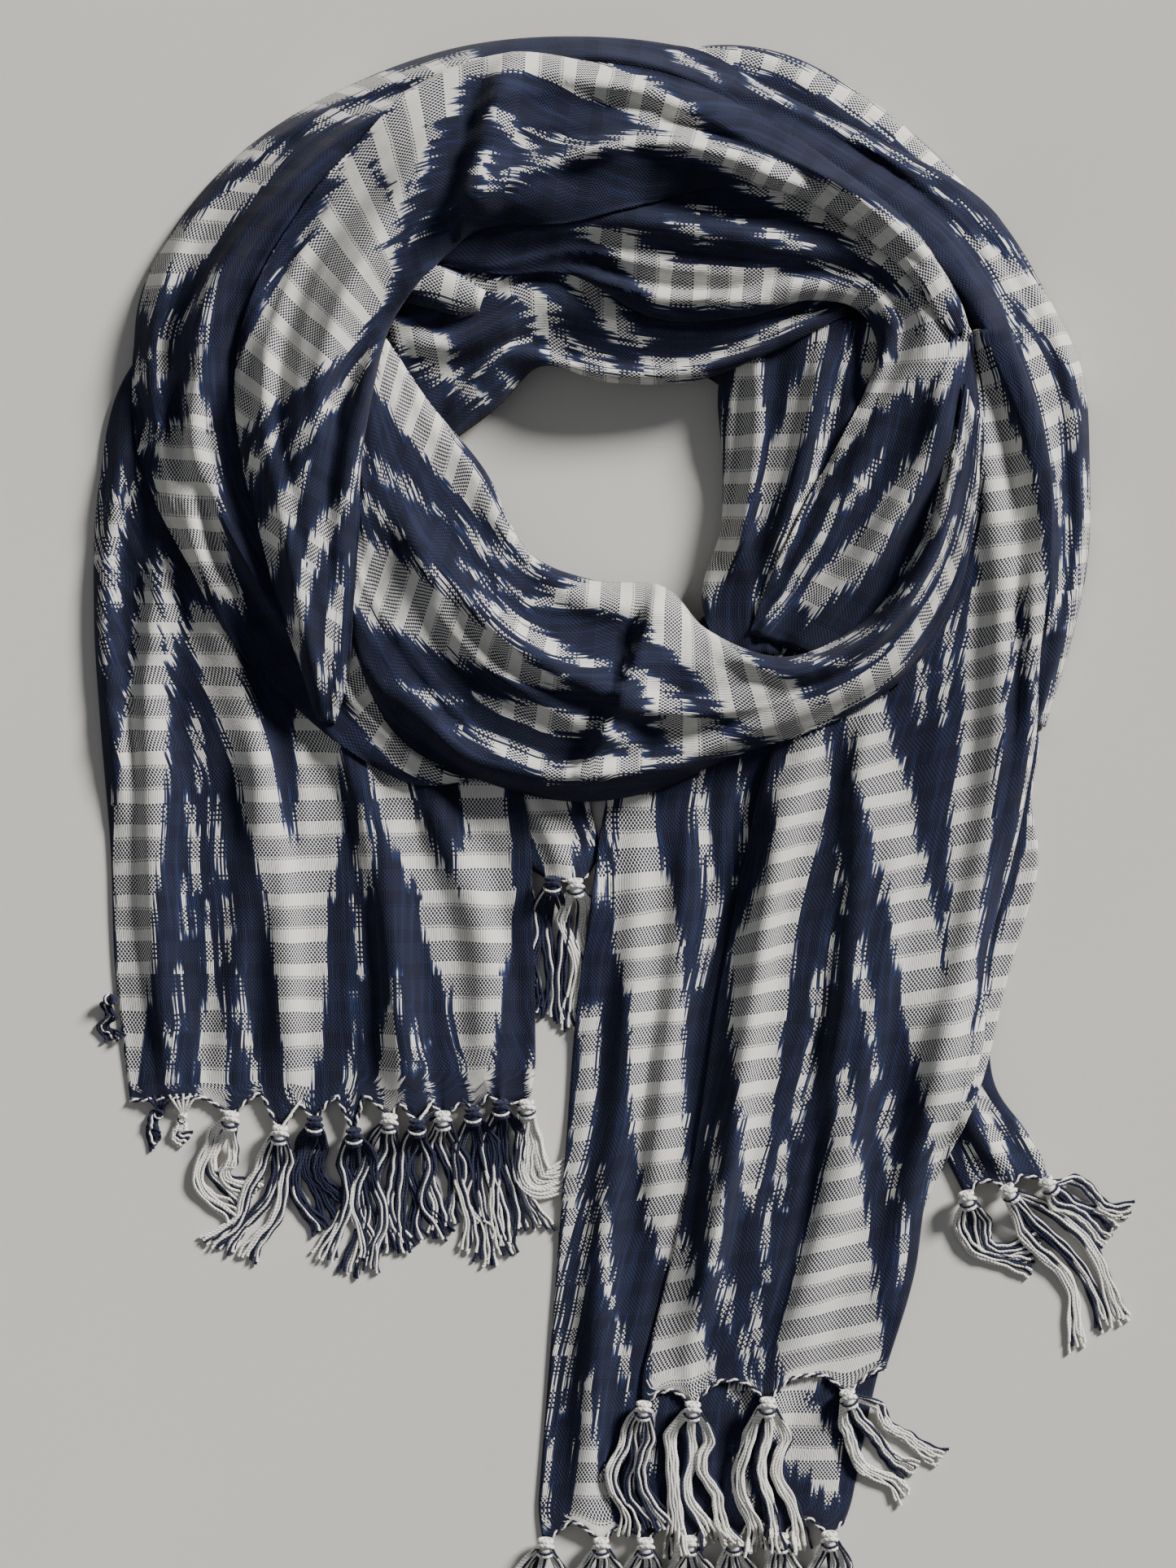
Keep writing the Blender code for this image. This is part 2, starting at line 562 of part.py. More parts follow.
# The faces round the ball's first point that grow locks, and each lock's place across the tassel, from -1 to 1.
LOCK_RANKS = {
    5: {(0, 1, 2): -0.5, (0, 2, 3): -1.0, (0, 3, 4): 0.0, (0, 4, 5): 1.0, (0, 5, 1): 0.5},
    3: {(0, 2, 3): -1.0, (0, 3, 4): 0.0, (0, 4, 5): 1.0},
    1: {(0, 3, 4): 0.0},
}


def nearest_on(outline, place):
    """The place on a closed outline that is nearest to a place, seen from above."""
    starts, ends = outline[:, :2], np.roll(outline[:, :2], -1, axis=0)
    steps = ends - starts
    share = np.clip(((place - starts) * steps).sum(axis=1) / (steps * steps).sum(axis=1), 0, 1)
    found = starts + share[:, None] * steps
    return found[np.argmin(np.linalg.norm(found - place, axis=1))]


def across_tassel(fringe, spine, step):
    """One section of a tassel: (direction across it, radius of a lock there, centre of each lock by rank)."""
    far = step / LOCK_STEPS
    heading = spine[2 * step + 1] - spine[2 * step]
    heading = heading / np.linalg.norm(heading)
    side = np.array([-heading[1], heading[0]])
    thick = LOCK_THICK + (LOCK_TIP - LOCK_THICK) * far
    reach = max(fringe.spread * (0.3 + 0.7 * far), LOCK_PITCH * thick * (fringe.locks - 1) / 2)
    centres = {}
    for rank in LOCK_RANKS[fringe.locks].values():
        sooner = heading * 1.5 * abs(rank) * far  # the outer locks end a little sooner
        centres[rank] = spine[2 * step + 1] + side * rank * reach - sooner
    return side, thick, centres


def tassel(fringe, table, outline):
    """One tassel, its knot with a neck to its hem and with the locks grown out of the faces round its tail end:
    (points, triangles)."""
    knot = np.array([fringe.knot_x, fringe.knot_y], float)
    path = (knot, (fringe.middle_x, fringe.middle_y), (fringe.tip_x, fringe.tip_y))
    spine = splined(path, 2 * LOCK_STEPS + 2)
    support = table.spread(EDGE_CLEAR)
    ball, faces = icosahedron()
    ranks = LOCK_RANKS[fringe.locks]
    hem = nearest_on(outline, knot)
    inward = (hem - knot) / np.linalg.norm(hem - knot)
    ahead = spine[1] - spine[0]
    ahead = ahead / np.linalg.norm(ahead) - inward
    ahead = ahead / np.linalg.norm(ahead)
    across = np.array([-ahead[1], ahead[0]])
    plan = ball[:, :1] * KNOT_LONG * ahead + ball[:, 1:2] * KNOT_WIDE * across + knot
    side, thick, centres = across_tassel(fringe, spine, 1)
    under = [plan] + [centre + side * edge for centre in centres.values() for edge in ([-thick], [thick])]
    i, j = table.column(np.vstack(under))
    points = list(np.column_stack([plan, ball[:, 2] * KNOT_HIGH + KNOT_HIGH + support[i, j].max()]))
    neck = hem + inward * NECK_OVER_HEM
    i, j = table.column(neck)
    points[11] = np.array([neck[0], neck[1], support[i, j]])
    groups = [list(range(11))]
    triangles = [face for face in faces if face not in ranks]

    roots = {rank: np.array([points[corner] for corner in face]) for face, rank in ranks.items()}
    corners = {rank: face for face, rank in ranks.items()}
    for step in range(1, LOCK_STEPS + 1):
        far = step / LOCK_STEPS
        side, thick, centres = across_tassel(fringe, spine, step)
        places, angles, settled = {}, {}, {}
        for rank, root in roots.items():
            sideways = (root[:, :2] - root[:, :2].mean(axis=0)) @ across
            angles[rank] = np.arctan2(root[:, 2] - root[:, 2].mean(), sideways)
            places[rank] = centres[rank] + side * np.cos(angles[rank])[:, None] * thick
            i, j = table.column(places[rank])
            settled[rank] = support[i, j].max() + 0.15 + thick
        for rank, root in roots.items():
            bed = max(settled.values()) if step == 1 else settled[rank]  # the locks leave the knot side by side
            drop = min(1.0, 2.2 * far)
            z = max(root[:, 2].mean() * (1 - drop) + bed * drop, bed)
            if abs(rank) == 0.5:  # the two upper locks lie on the others and come down between them
                z = max(z, bed + UPPER_LIFT * thick * (LOCK_STEPS - step) / (LOCK_STEPS - 1))
            first = len(points)
            points.extend(np.column_stack([places[rank], z + np.sin(angles[rank]) * thick]))
            ring = (first, first + 1, first + 2)
            groups.append(list(ring))
            old = corners[rank]
            for n in range(3):
                m = (n + 1) % 3
                if rank < 0:  # the left half is cut as the mirror image of the right half
                    triangles += [(old[n], old[m], ring[n]), (old[m], ring[m], ring[n])]
                else:
                    triangles += [(old[n], old[m], ring[m]), (old[n], ring[m], ring[n])]
            corners[rank] = ring
    triangles += list(corners.values())
    points, triangles = np.array(points), np.array(triangles)
    points[:, 2] = table.lifted(points, triangles, groups)
    return points, triangles


def add_object(name, points, triangles):
    """Makes one object of a solid given in millimetres."""
    mesh = bpy.data.meshes.new(name)
    mesh.from_pydata((points * MM).tolist(), [], triangles.tolist())
    mesh.validate()
    mesh.update()
    bpy.context.scene.collection.objects.link(bpy.data.objects.new(name, mesh))


def main():
    for thing in list(bpy.data.objects):
        bpy.data.objects.remove(thing, do_unlink=True)
    table = Table()
    solids = {"hidden_layers": heap()}
    table.lay(*solids["hidden_layers"])
    outlines = {}
    for stretch in STRETCHES:
        points, triangles, outlines[stretch.name] = cloth(stretch, table)
        solids[stretch.name] = points, triangles
        table.lay(points, triangles)
    for fringe in TASSELS:
        solids[fringe.name] = tassel(fringe, table, outlines[fringe.hem])
        table.lay(*solids[fringe.name])

    everything = np.vstack([points for points, _ in solids.values()])
    low, high = everything.min(axis=0), everything.max(axis=0)
    centre = np.array([(low[0] + high[0]) / 2, (low[1] + high[1]) / 2, 0.0])  # the part stands centred on its origin
    for name, (points, triangles) in solids.items():
        add_object(name, points - centre, triangles)


main()
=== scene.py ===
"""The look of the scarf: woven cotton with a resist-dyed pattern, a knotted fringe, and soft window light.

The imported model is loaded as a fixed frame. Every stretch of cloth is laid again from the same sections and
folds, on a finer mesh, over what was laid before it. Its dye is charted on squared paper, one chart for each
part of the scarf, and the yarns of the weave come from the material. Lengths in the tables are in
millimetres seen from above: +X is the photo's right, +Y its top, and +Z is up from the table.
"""

import logging
import math
from dataclasses import dataclass, field
from enum import Enum
from typing import NamedTuple

import bpy
import numpy as np
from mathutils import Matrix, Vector

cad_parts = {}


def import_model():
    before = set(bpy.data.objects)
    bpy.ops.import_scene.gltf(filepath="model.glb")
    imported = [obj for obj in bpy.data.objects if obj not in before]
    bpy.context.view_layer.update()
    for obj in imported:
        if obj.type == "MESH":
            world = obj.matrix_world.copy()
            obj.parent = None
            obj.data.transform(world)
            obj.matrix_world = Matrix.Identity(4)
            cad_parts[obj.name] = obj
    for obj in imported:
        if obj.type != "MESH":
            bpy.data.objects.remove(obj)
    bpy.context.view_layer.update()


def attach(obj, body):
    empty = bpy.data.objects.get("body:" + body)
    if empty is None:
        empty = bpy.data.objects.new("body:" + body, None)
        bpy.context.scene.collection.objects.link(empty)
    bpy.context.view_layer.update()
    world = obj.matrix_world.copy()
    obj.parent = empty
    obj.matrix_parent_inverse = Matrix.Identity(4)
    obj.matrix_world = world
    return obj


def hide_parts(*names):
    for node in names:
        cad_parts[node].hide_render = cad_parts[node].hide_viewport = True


LOG = logging.getLogger("scarf")
MM = 0.001


class Section(NamedTuple):
    """One section across a stretch: the place and height of both edges, and how far the middle stands up."""

    left_x: float
    left_y: float
    right_x: float
    right_y: float
    left_z: float
    right_z: float
    crown: float


class Fold(NamedTuple):
    """A ridge along a path of places, with its height and half width. The lean is the share of the width that
    the right side of the path loses to the left side."""

    height: float
    width: float
    lean: float
    path: tuple


class Layer(NamedTuple):
    """One section through the heap of hidden layers: its inner foot, its outer foot and its height."""

    inner_x: float
    inner_y: float
    outer_x: float
    outer_y: float
    height: float


class Fringe(NamedTuple):
    """One tassel: the stretch whose hem it hangs from, the places of its knot, the middle of its yarns and
    their tips, half the width they spread to, the share of white yarn at the knot and at the tips, and how
    large its knot is."""

    name: str
    hem: str
    knot_x: float
    knot_y: float
    middle_x: float
    middle_y: float
    tip_x: float
    tip_y: float
    spread: float
    white_root: float
    white_tip: float
    size: float = 1.0  # of the knot, against the others


class Chart(NamedTuple):
    """A dye chart on squared paper: the place of its top left corner, the side of a square, and the strokes
    that stay white and those that are dyed again over them. In the swag's chart some white strokes are
    painted highlights. A stroke is rows of across, down, half width."""

    corner_x: float
    corner_y: float
    square: float
    white: tuple
    navy: tuple = ()


@dataclass(frozen=True)
class Stretch:
    """A stretch of cloth: its sections from one end to the other, its folds, and how full its edges are."""

    name: str
    sections: tuple
    folds: tuple = ()
    fullness: float = 0.55


HEAP = (
    #     inner x, y   outer x, y  height
    Layer(-3, 218, -3, 342, 20),
    Layer(27, 214, 64, 331, 20),
    Layer(53, 197, 150, 268, 20),
    Layer(57, 165, 188, 183, 19),
    Layer(51, 130, 176, 101, 18),
    Layer(34, 102, 107, 74, 18),
    Layer(-5, 109, -1, 40, 18),
    Layer(-40, 121, -54, 50, 18),
    Layer(-54, 148, -103, 78, 18),
    Layer(-68, 176, -176, 148, 19),
    Layer(-68, 204, -180, 226, 20),
    Layer(-40, 225, -110, 312, 20),
)

# Across the heap: the share of the way from its inner to its outer foot, and the share of its height. The
# zigzags at both sides are the edges of the layers.
HEAP_PROFILE = (
    (0.04, 0.00), (0.00, 0.10), (0.04, 0.22), (0.01, 0.34), (0.06, 0.46), (0.04, 0.58), (0.12, 0.78),
    (0.28, 0.94), (0.50, 1.00), (0.72, 0.94), (0.87, 0.74), (0.94, 0.52), (0.92, 0.40), (0.99, 0.24),
    (0.96, 0.14), (0.97, 0.00),
)

STRETCHES = (
    Stretch("right_flap", (
        Section(121, -41, 162, -48, 3, 3, 2),
        Section(125, -83, 164, -94, 3, 3, 3),
        Section(139, -118, 178, -115, 2, 2, 4),
        Section(149, -138, 189, -132, 2, 2, 3),
    ), folds=(
        Fold(2.5, 8, 0.0, ((140, -60), (148, -95), (160, -120), (172, -134))),
    )),
    Stretch("centre_flap", (
        Section(-68, 46, -13, 46, 3, 3, 2),
        Section(-61, 22, -9, 23, 3, 3, 2),
        Section(-46, 5, -6, 4, 2, 2, 3),
        Section(-31, -4, -9, -4, 2, 2, 4),
    ), folds=(
        Fold(2.5, 9, 0.0, ((-38, 35), (-26, 12), (-20, -3))),
    )),
    Stretch("left_tail", (
        Section(-188, 239, -148, 232, 3, 5, 2),
        Section(-211, 207, -148, 204, 3, 6, 3),
        Section(-221, 162, -138, 162, 2, 6, 4),
        Section(-223, 109, -98, 110, 2, 5, 4),
        Section(-220, 57, -50, 64, 2, 4, 4),
        Section(-216, 8, -37, 20, 2, 2, 4),
        Section(-214, -45, -34, -38, 2, 2, 3),
        Section(-207, -106, -33, -97, 2, 2, 1.5),
    ), folds=(
        Fold(4, 12, 0.3, ((-192, 155), (-199, 57), (-197, -13), (-190, -97))),
        Fold(3, 8, 0.0, ((-206, 197), (-217, 127), (-211, 22))),
        Fold(4, 13, -0.3, ((-181, 148), (-159, 74), (-143, 4), (-138, -97))),
        Fold(3.5, 12, 0.2, ((-159, 176), (-131, 92), (-106, 22), (-89, -97))),
        Fold(3.5, 12, 0.0, ((-124, 106), (-82, 36), (-57, -31), (-54, -94))),
    )),
    Stretch("right_under", (
        Section(16, 81, 170, 81, 3, 3, 2),
        Section(2, 46, 183, 55, 3, 3, 3),
        Section(-4, 22, 180, 28, 2, 2, 3),
        Section(-10, -20, 183, 1, 2, 2, 3),
        Section(-16, -66, 170, -48, 2, 2, 3),
        Section(-20, -118, 158, -94, 2, 2, 3),
        Section(-24, -171, 132, -153, 2, 2, 3),
        Section(-28, -223, 113, -223, 2, 2, 3),
        Section(-33, -287, 101, -283, 2, 2, 1.5),
    ), folds=(
        Fold(3.5, 11, 0.0, ((13, 22), (9, -31), (6, -83), (-3, -153), (-8, -223), (-12, -279))),
        Fold(3, 10, 0.2, ((34, 22), (29, -31), (22, -101), (16, -153))),
        Fold(3, 12, 0.0, ((70, -225), (62, -255), (60, -280))),
    )),
    Stretch("outer_under", (
        Section(13, 345, 16, 326, 2, 6, 3),
        Section(41, 352, 37, 330, 2, 7, 5),
        Section(72, 349, 62, 323, 2, 8, 5),
        Section(107, 331, 86, 305, 2, 8, 5),
        Section(139, 305, 114, 281, 2, 7, 4),
        Section(165, 277, 139, 256, 2, 6, 3),
    )),
    Stretch("outer_loop", (
        Section(-60, 36, -66, 52, 6, 8, 2),
        Section(-84, 34, -74, 66, 5, 9, 4),
        Section(-109, 46, -84, 80, 5, 11, 6),
        Section(-137, 68, -95, 94, 4, 13, 8),
        Section(-164, 97, -106, 108, 3, 15, 9),
        Section(-181, 127, -117, 128, 2.5, 17, 9),
        Section(-200, 165, -131, 157, 2.5, 19, 9),
        Section(-206, 218, -138, 207, 2.5, 20, 9),
        Section(-201, 251, -134, 246, 2.5, 21, 9),
        Section(-184, 280, -122, 270, 2.5, 22, 9),
        Section(-155, 310, -103, 296, 2.5, 22, 9),
        Section(-113, 335, -75, 314, 2.5, 22, 9),
        Section(-68, 351, -47, 323, 2.5, 22, 9),
        Section(-19, 356, -15, 323, 2.5, 22, 9),
        Section(34, 350, 20, 319, 4, 22, 9),
        Section(72, 330, 51, 302, 6, 22, 9),
        Section(114, 310, 83, 277, 6, 22, 9),
        Section(161, 283, 114, 253, 4, 22, 9),
        Section(188, 242, 139, 225, 2.5, 22, 9),
        Section(202, 211, 156, 190, 2.5, 20, 9),
        Section(205, 169, 168, 155, 2.5, 18, 9),
        Section(204, 130, 170, 120, 2.5, 16, 8),
        Section(196, 92, 172, 85, 2.5, 12, 6),
        Section(186, 59, 172, 60, 2.5, 6, 4),
    ), folds=(
        Fold(3, 7, 0.0, ((-47, 349), (-113, 327), (-159, 299), (-186, 263), (-197, 218), (-191, 172),
                         (-174, 130), (-145, 88))),
        Fold(3.5, 8, 0.2, ((-68, 333), (-113, 310), (-148, 280), (-172, 239), (-181, 197), (-167, 148),
                           (-141, 102))),
        Fold(3.5, 8, 0.0, ((-19, 351), (72, 324), (155, 280), (191, 225), (200, 165), (198, 120),
                           (186, 71))),
        Fold(4, 9, 0.2, ((2, 335), (72, 305), (128, 267), (165, 218), (184, 162), (187, 106))),
    )),
    Stretch("right_inner", (
        Section(51, 232, 114, 232, 18, 24, 3),
        Section(45, 204, 114, 204, 12, 24, 3),
        Section(47, 172, 104, 172, 8, 22, 4),
        Section(46, 144, 90, 144, 8, 20, 4),
        Section(38, 114, 76, 113, 10, 18, 3),
        Section(44, 90, 72, 90, 12, 14, 2),
    ), folds=(
        Fold(3, 7, 0.0, ((62, 221), (60, 176), (53, 127))),
        Fold(3, 8, 0.2, ((90, 221), (81, 176), (67, 127))),
    )),
    Stretch("top_lip", (
        Section(-99, 249, -85, 172, 22, 12, 3),
        Section(-75, 254, -65, 184, 24, 12, 4),
        Section(-54, 260, -48, 197, 25, 13, 5),
        Section(-36, 261, -33, 212, 26, 15, 5),
        Section(-5, 255, -3, 206, 26, 16, 5),
        Section(34, 246, 37, 207, 26, 16, 5),
        Section(65, 247, 67, 218, 26, 18, 4),
        Section(97, 250, 99, 234, 26, 22, 2),
    ), folds=(
        Fold(3.5, 8, -0.3, ((-68, 197), (-43, 218), (-19, 212), (16, 209), (51, 214), (83, 230))),
        Fold(3, 8, 0.0, ((-89, 225), (-68, 221), (-40, 232))),
    )),
    Stretch("right_over", (
        Section(132, 225, 168, 228, 24, 22, 2),
        Section(125, 183, 184, 181, 24, 16, 5),
        Section(107, 134, 186, 130, 20, 12, 7),
        Section(86, 85, 182, 85, 14, 9, 8),
        Section(67, 46, 181, 53, 9, 6, 7),
        Section(57, 4, 172, 4, 7, 4, 5),
        Section(50, -31, 162, -34, 6, 4, 4),
        Section(43, -69, 158, -80, 6, 4, 4),
        Section(38, -104, 147, -111, 6, 4, 4),
        Section(32, -139, 135, -141, 6, 4, 4),
        Section(24, -174, 130, -174, 6, 4, 4),
        Section(10, -228, 116, -221, 5, 4, 2),
    ), folds=(
        Fold(4, 11, 0.0, ((153, 204), (162, 155), (165, 92), (162, 22), (149, -48), (132, -118),
                          (118, -188))),
        Fold(4, 13, 0.3, ((107, 57), (104, -13), (97, -83), (90, -153), (72, -216))),
        Fold(4, 11, -0.2, ((86, 57), (72, 4), (58, -66), (48, -136), (34, -206))),
        Fold(3, 7, 0.0, ((178, 127), (177, 57), (169, 4))),
    )),
    Stretch("right_turn", (
        Section(-68, 280, -78, 256, 26, 25, 2),
        Section(-40, 288, -47, 251, 29, 25, 5),
        Section(-15, 301, -19, 251, 30, 26, 6),
        Section(10, 308, 16, 233, 30, 24, 8),
        Section(51, 303, 56, 233, 30, 24, 8),
        Section(97, 288, 84, 240, 30, 25, 8),
        Section(128, 267, 104, 236, 30, 26, 8),
        Section(147, 240, 112, 222, 30, 26, 8),
        Section(154, 207, 108, 204, 29, 24, 8),
        Section(155, 169, 96, 180, 28, 22, 8),
        Section(152, 134, 83, 155, 26, 21, 7),
        Section(142, 102, 69, 127, 22, 18, 5),
        Section(121, 76, 58, 99, 18, 16, 3),
    ), folds=(
        Fold(6, 10, 0.5, ((-64, 276), (-36, 283), (-13, 294), (11, 301), (48, 297), (97, 282), (126, 259),
                          (144, 232))),
        Fold(3, 9, 0.0, ((-40, 267), (-5, 272), (30, 270), (65, 263), (97, 256))),
        Fold(4, 9, -0.3, ((-12, 252), (16, 240), (51, 240), (84, 246), (108, 244), (118, 230), (114, 214),
                          (100, 197))),
        Fold(3.5, 9, 0.0, ((144, 218), (135, 176), (107, 130), (79, 99))),
        Fold(3, 9, 0.2, ((128, 214), (107, 176), (83, 127))),
    )),
    Stretch("tucked_roll", (
        Section(-90, 256, -92, 240, 25, 25, 3),
        Section(-74, 255, -78, 237, 26, 26, 6),
        Section(-62, 250, -66, 234, 26, 26, 6),
        Section(-54, 244, -57, 236, 26, 26, 4),
    ), fullness=0.5),
    Stretch("front_swag", (
        Section(-99, 228, -115, 148, 24, 24, 6),
        Section(-78, 197, -111, 95, 20, 16, 10),
        Section(-55, 169, -92, 55, 16, 8, 14),
        Section(-34, 132, -54, 35, 14, 6, 16),
        Section(-8, 122, -19, 27, 12, 6, 17),
        Section(22, 119, 16, 31, 12, 6, 17),
        Section(41, 100, 51, 46, 14, 8, 16),
        Section(76, 89, 90, 59, 18, 12, 12),
        Section(107, 104, 117, 74, 24, 16, 8),
        Section(130, 137, 141, 104, 28, 20, 6),
        Section(144, 176, 154, 148, 30, 24, 4),
        Section(149, 204, 156, 186, 30, 26, 2),
    ), folds=(
        Fold(5, 11, 0.6, ((19, 118), (7, 81), (-13, 40))),
        Fold(4.5, 9, 0.2, ((-99, 78), (-57, 44), (-19, 36), (16, 40), (51, 54), (90, 68), (118, 84),
                           (141, 116))),
        Fold(4, 8, 0.0, ((44, 93), (76, 82), (107, 94), (132, 127), (147, 169))),
        Fold(3.5, 11, 0.0, ((-68, 185), (-40, 141), (-12, 114), (16, 110))),
        Fold(3, 12, 0.0, ((-89, 148), (-54, 106), (-19, 81), (6, 74))),
    )),
    Stretch("left_roll", (
        Section(149, 228, 144, 223, 32, 32, 1),
        Section(132, 263, 120, 254, 31, 31, 3),
        Section(100, 293, 86, 279, 29, 30, 5),
        Section(62, 319, 51, 288, 26, 29, 7),
        Section(27, 335, 16, 281, 24, 28, 9),
        Section(-8, 342, -19, 272, 24, 28, 10),
        Section(-47, 346, -55, 270, 23, 28, 11),
        Section(-82, 333, -72, 258, 23, 28, 11),
        Section(-110, 305, -85, 244, 22, 28, 10),
        Section(-134, 277, -95, 228, 22, 27, 10),
        Section(-152, 246, -102, 200, 22, 26, 10),
        Section(-161, 211, -107, 169, 21, 25, 10),
        Section(-159, 176, -108, 141, 21, 24, 9),
        Section(-151, 144, -110, 116, 20, 22, 8),
        Section(-143, 113, -112, 92, 18, 20, 7),
        Section(-134, 85, -115, 72, 15, 17, 5),
        Section(-127, 62, -119, 60, 13, 14, 2),
    ), folds=(
        Fold(6, 13, 0.3, ((-45, 341), (-54, 309), (-64, 274))),
        Fold(4, 9, 0.4, ((-40, 337), (2, 330), (51, 311), (100, 284), (132, 256))),
        Fold(4, 14, 0.0, ((-68, 309), (-110, 256), (-131, 190), (-129, 127), (-124, 74))),
        Fold(3, 8, 0.0, ((-148, 225), (-146, 176), (-136, 127), (-127, 78))),
        Fold(3, 7, 0.0, ((-99, 225), (-113, 176), (-116, 120))),
    )),
)

TASSELS = (
    # name, hem, knot x and y, middle x and y, tips x and y, spread, white at the knot and at the tips
    Fringe("left_tassel_1", "left_tail", -164, -110, -172, -131, -157, -149, 6, 0.85, 0.8),
    Fringe("left_tassel_2", "left_tail", -143, -116, -149, -142, -166, -169, 7, 0.4, 0.55),
    Fringe("left_tassel_3", "left_tail", -128, -112, -131, -134, -119, -154, 6, 0, 0.05),
    Fringe("left_tassel_4", "left_tail", -111, -117, -108, -149, -113, -178, 8, 0.05, 0.5),
    Fringe("left_tassel_5", "left_tail", -96, -111, -103, -141, -97, -170, 7, 0.3, 0.45),
    Fringe("left_tassel_6", "left_tail", -84, -113, -86, -141, -80, -167, 6, 0.15, 0.25),
    Fringe("left_tassel_7", "left_tail", -73, -110, -71, -135, -66, -158, 7, 0.35, 0.45),
    Fringe("left_tassel_8", "left_tail", -60, -108, -57, -140, -55, -173, 7, 0.1, 0.6),
    Fringe("left_tassel_9", "left_tail", -48, -105, -45, -133, -39, -165, 7, 0.05, 0.5),
    Fringe("left_tassel_10", "left_tail", -37, -105, -32, -136, -13, -130, 4, 1, 1),
    Fringe("left_peek_tassel", "left_tail", -215.6, -58, -217.6, -67, -216, -77, 2.6, 0.2, 0.25, 0.6),
    Fringe("corner_tassel_1", "left_tail", -195, -107, -200, -113, -193, -118, 1.2, 0.1, 0.1, 0.5),
    Fringe("corner_tassel_2", "left_tail", -185, -109, -187, -115, -183, -120, 1.0, 0.9, 0.6, 0.5),
    Fringe("centre_tassel_1", "centre_flap", -26, -9, -28, -38, -27, -70, 6, 0.15, 0.25),
    Fringe("centre_tassel_2", "centre_flap", -16, -10, -11, -40, -8, -71, 7, 0.9, 0.9),
    Fringe("flap_tassel_1", "right_flap", 152, -144, 158, -164, 184, -168, 4, 0.45, 0.5),
    Fringe("flap_tassel_2", "right_flap", 170, -141, 194, -165, 214, -208, 8, 0.4, 0.8),
    Fringe("flap_tassel_3", "right_flap", 187, -138, 203, -147, 220, -157, 6, 0.5, 0.6),
    Fringe("under_tassel_1", "right_under", -29, -293, -33, -322, -37, -353, 8, 0.6, 0.7),
    Fringe("under_tassel_2", "right_under", -5, -293, -6, -322, -8, -355, 8, 0.6, 0.7),
    Fringe("under_tassel_3", "right_under", 14, -293, 13, -324, 16, -356, 7, 0.6, 0.7),
    Fringe("under_tassel_4", "right_under", 33, -292, 34, -322, 33, -354, 7, 0.6, 0.7),
    Fringe("under_tassel_5", "right_under", 52, -292, 53, -324, 56, -355, 7, 0.6, 0.7),
    Fringe("under_tassel_6", "right_under", 72, -291, 74, -322, 76, -353, 7, 0.6, 0.7),
    Fringe("under_tassel_7", "right_under", 93, -290, 96, -320, 101, -350, 8, 0.6, 0.7),
    Fringe("over_tassel_1", "right_over", 13, -234, 7, -260, 16, -290, 6, 0.45, 0.4),
    Fringe("over_tassel_2", "right_over", 34, -234, 32, -264, 42, -296, 9, 0.85, 0.85),
    Fringe("over_tassel_3", "right_over", 66, -232, 64, -262, 72, -297, 9, 0.85, 0.8),
    Fringe("over_tassel_4", "right_over", 101, -229, 113, -248, 134, -265, 10, 0.75, 0.8),
)
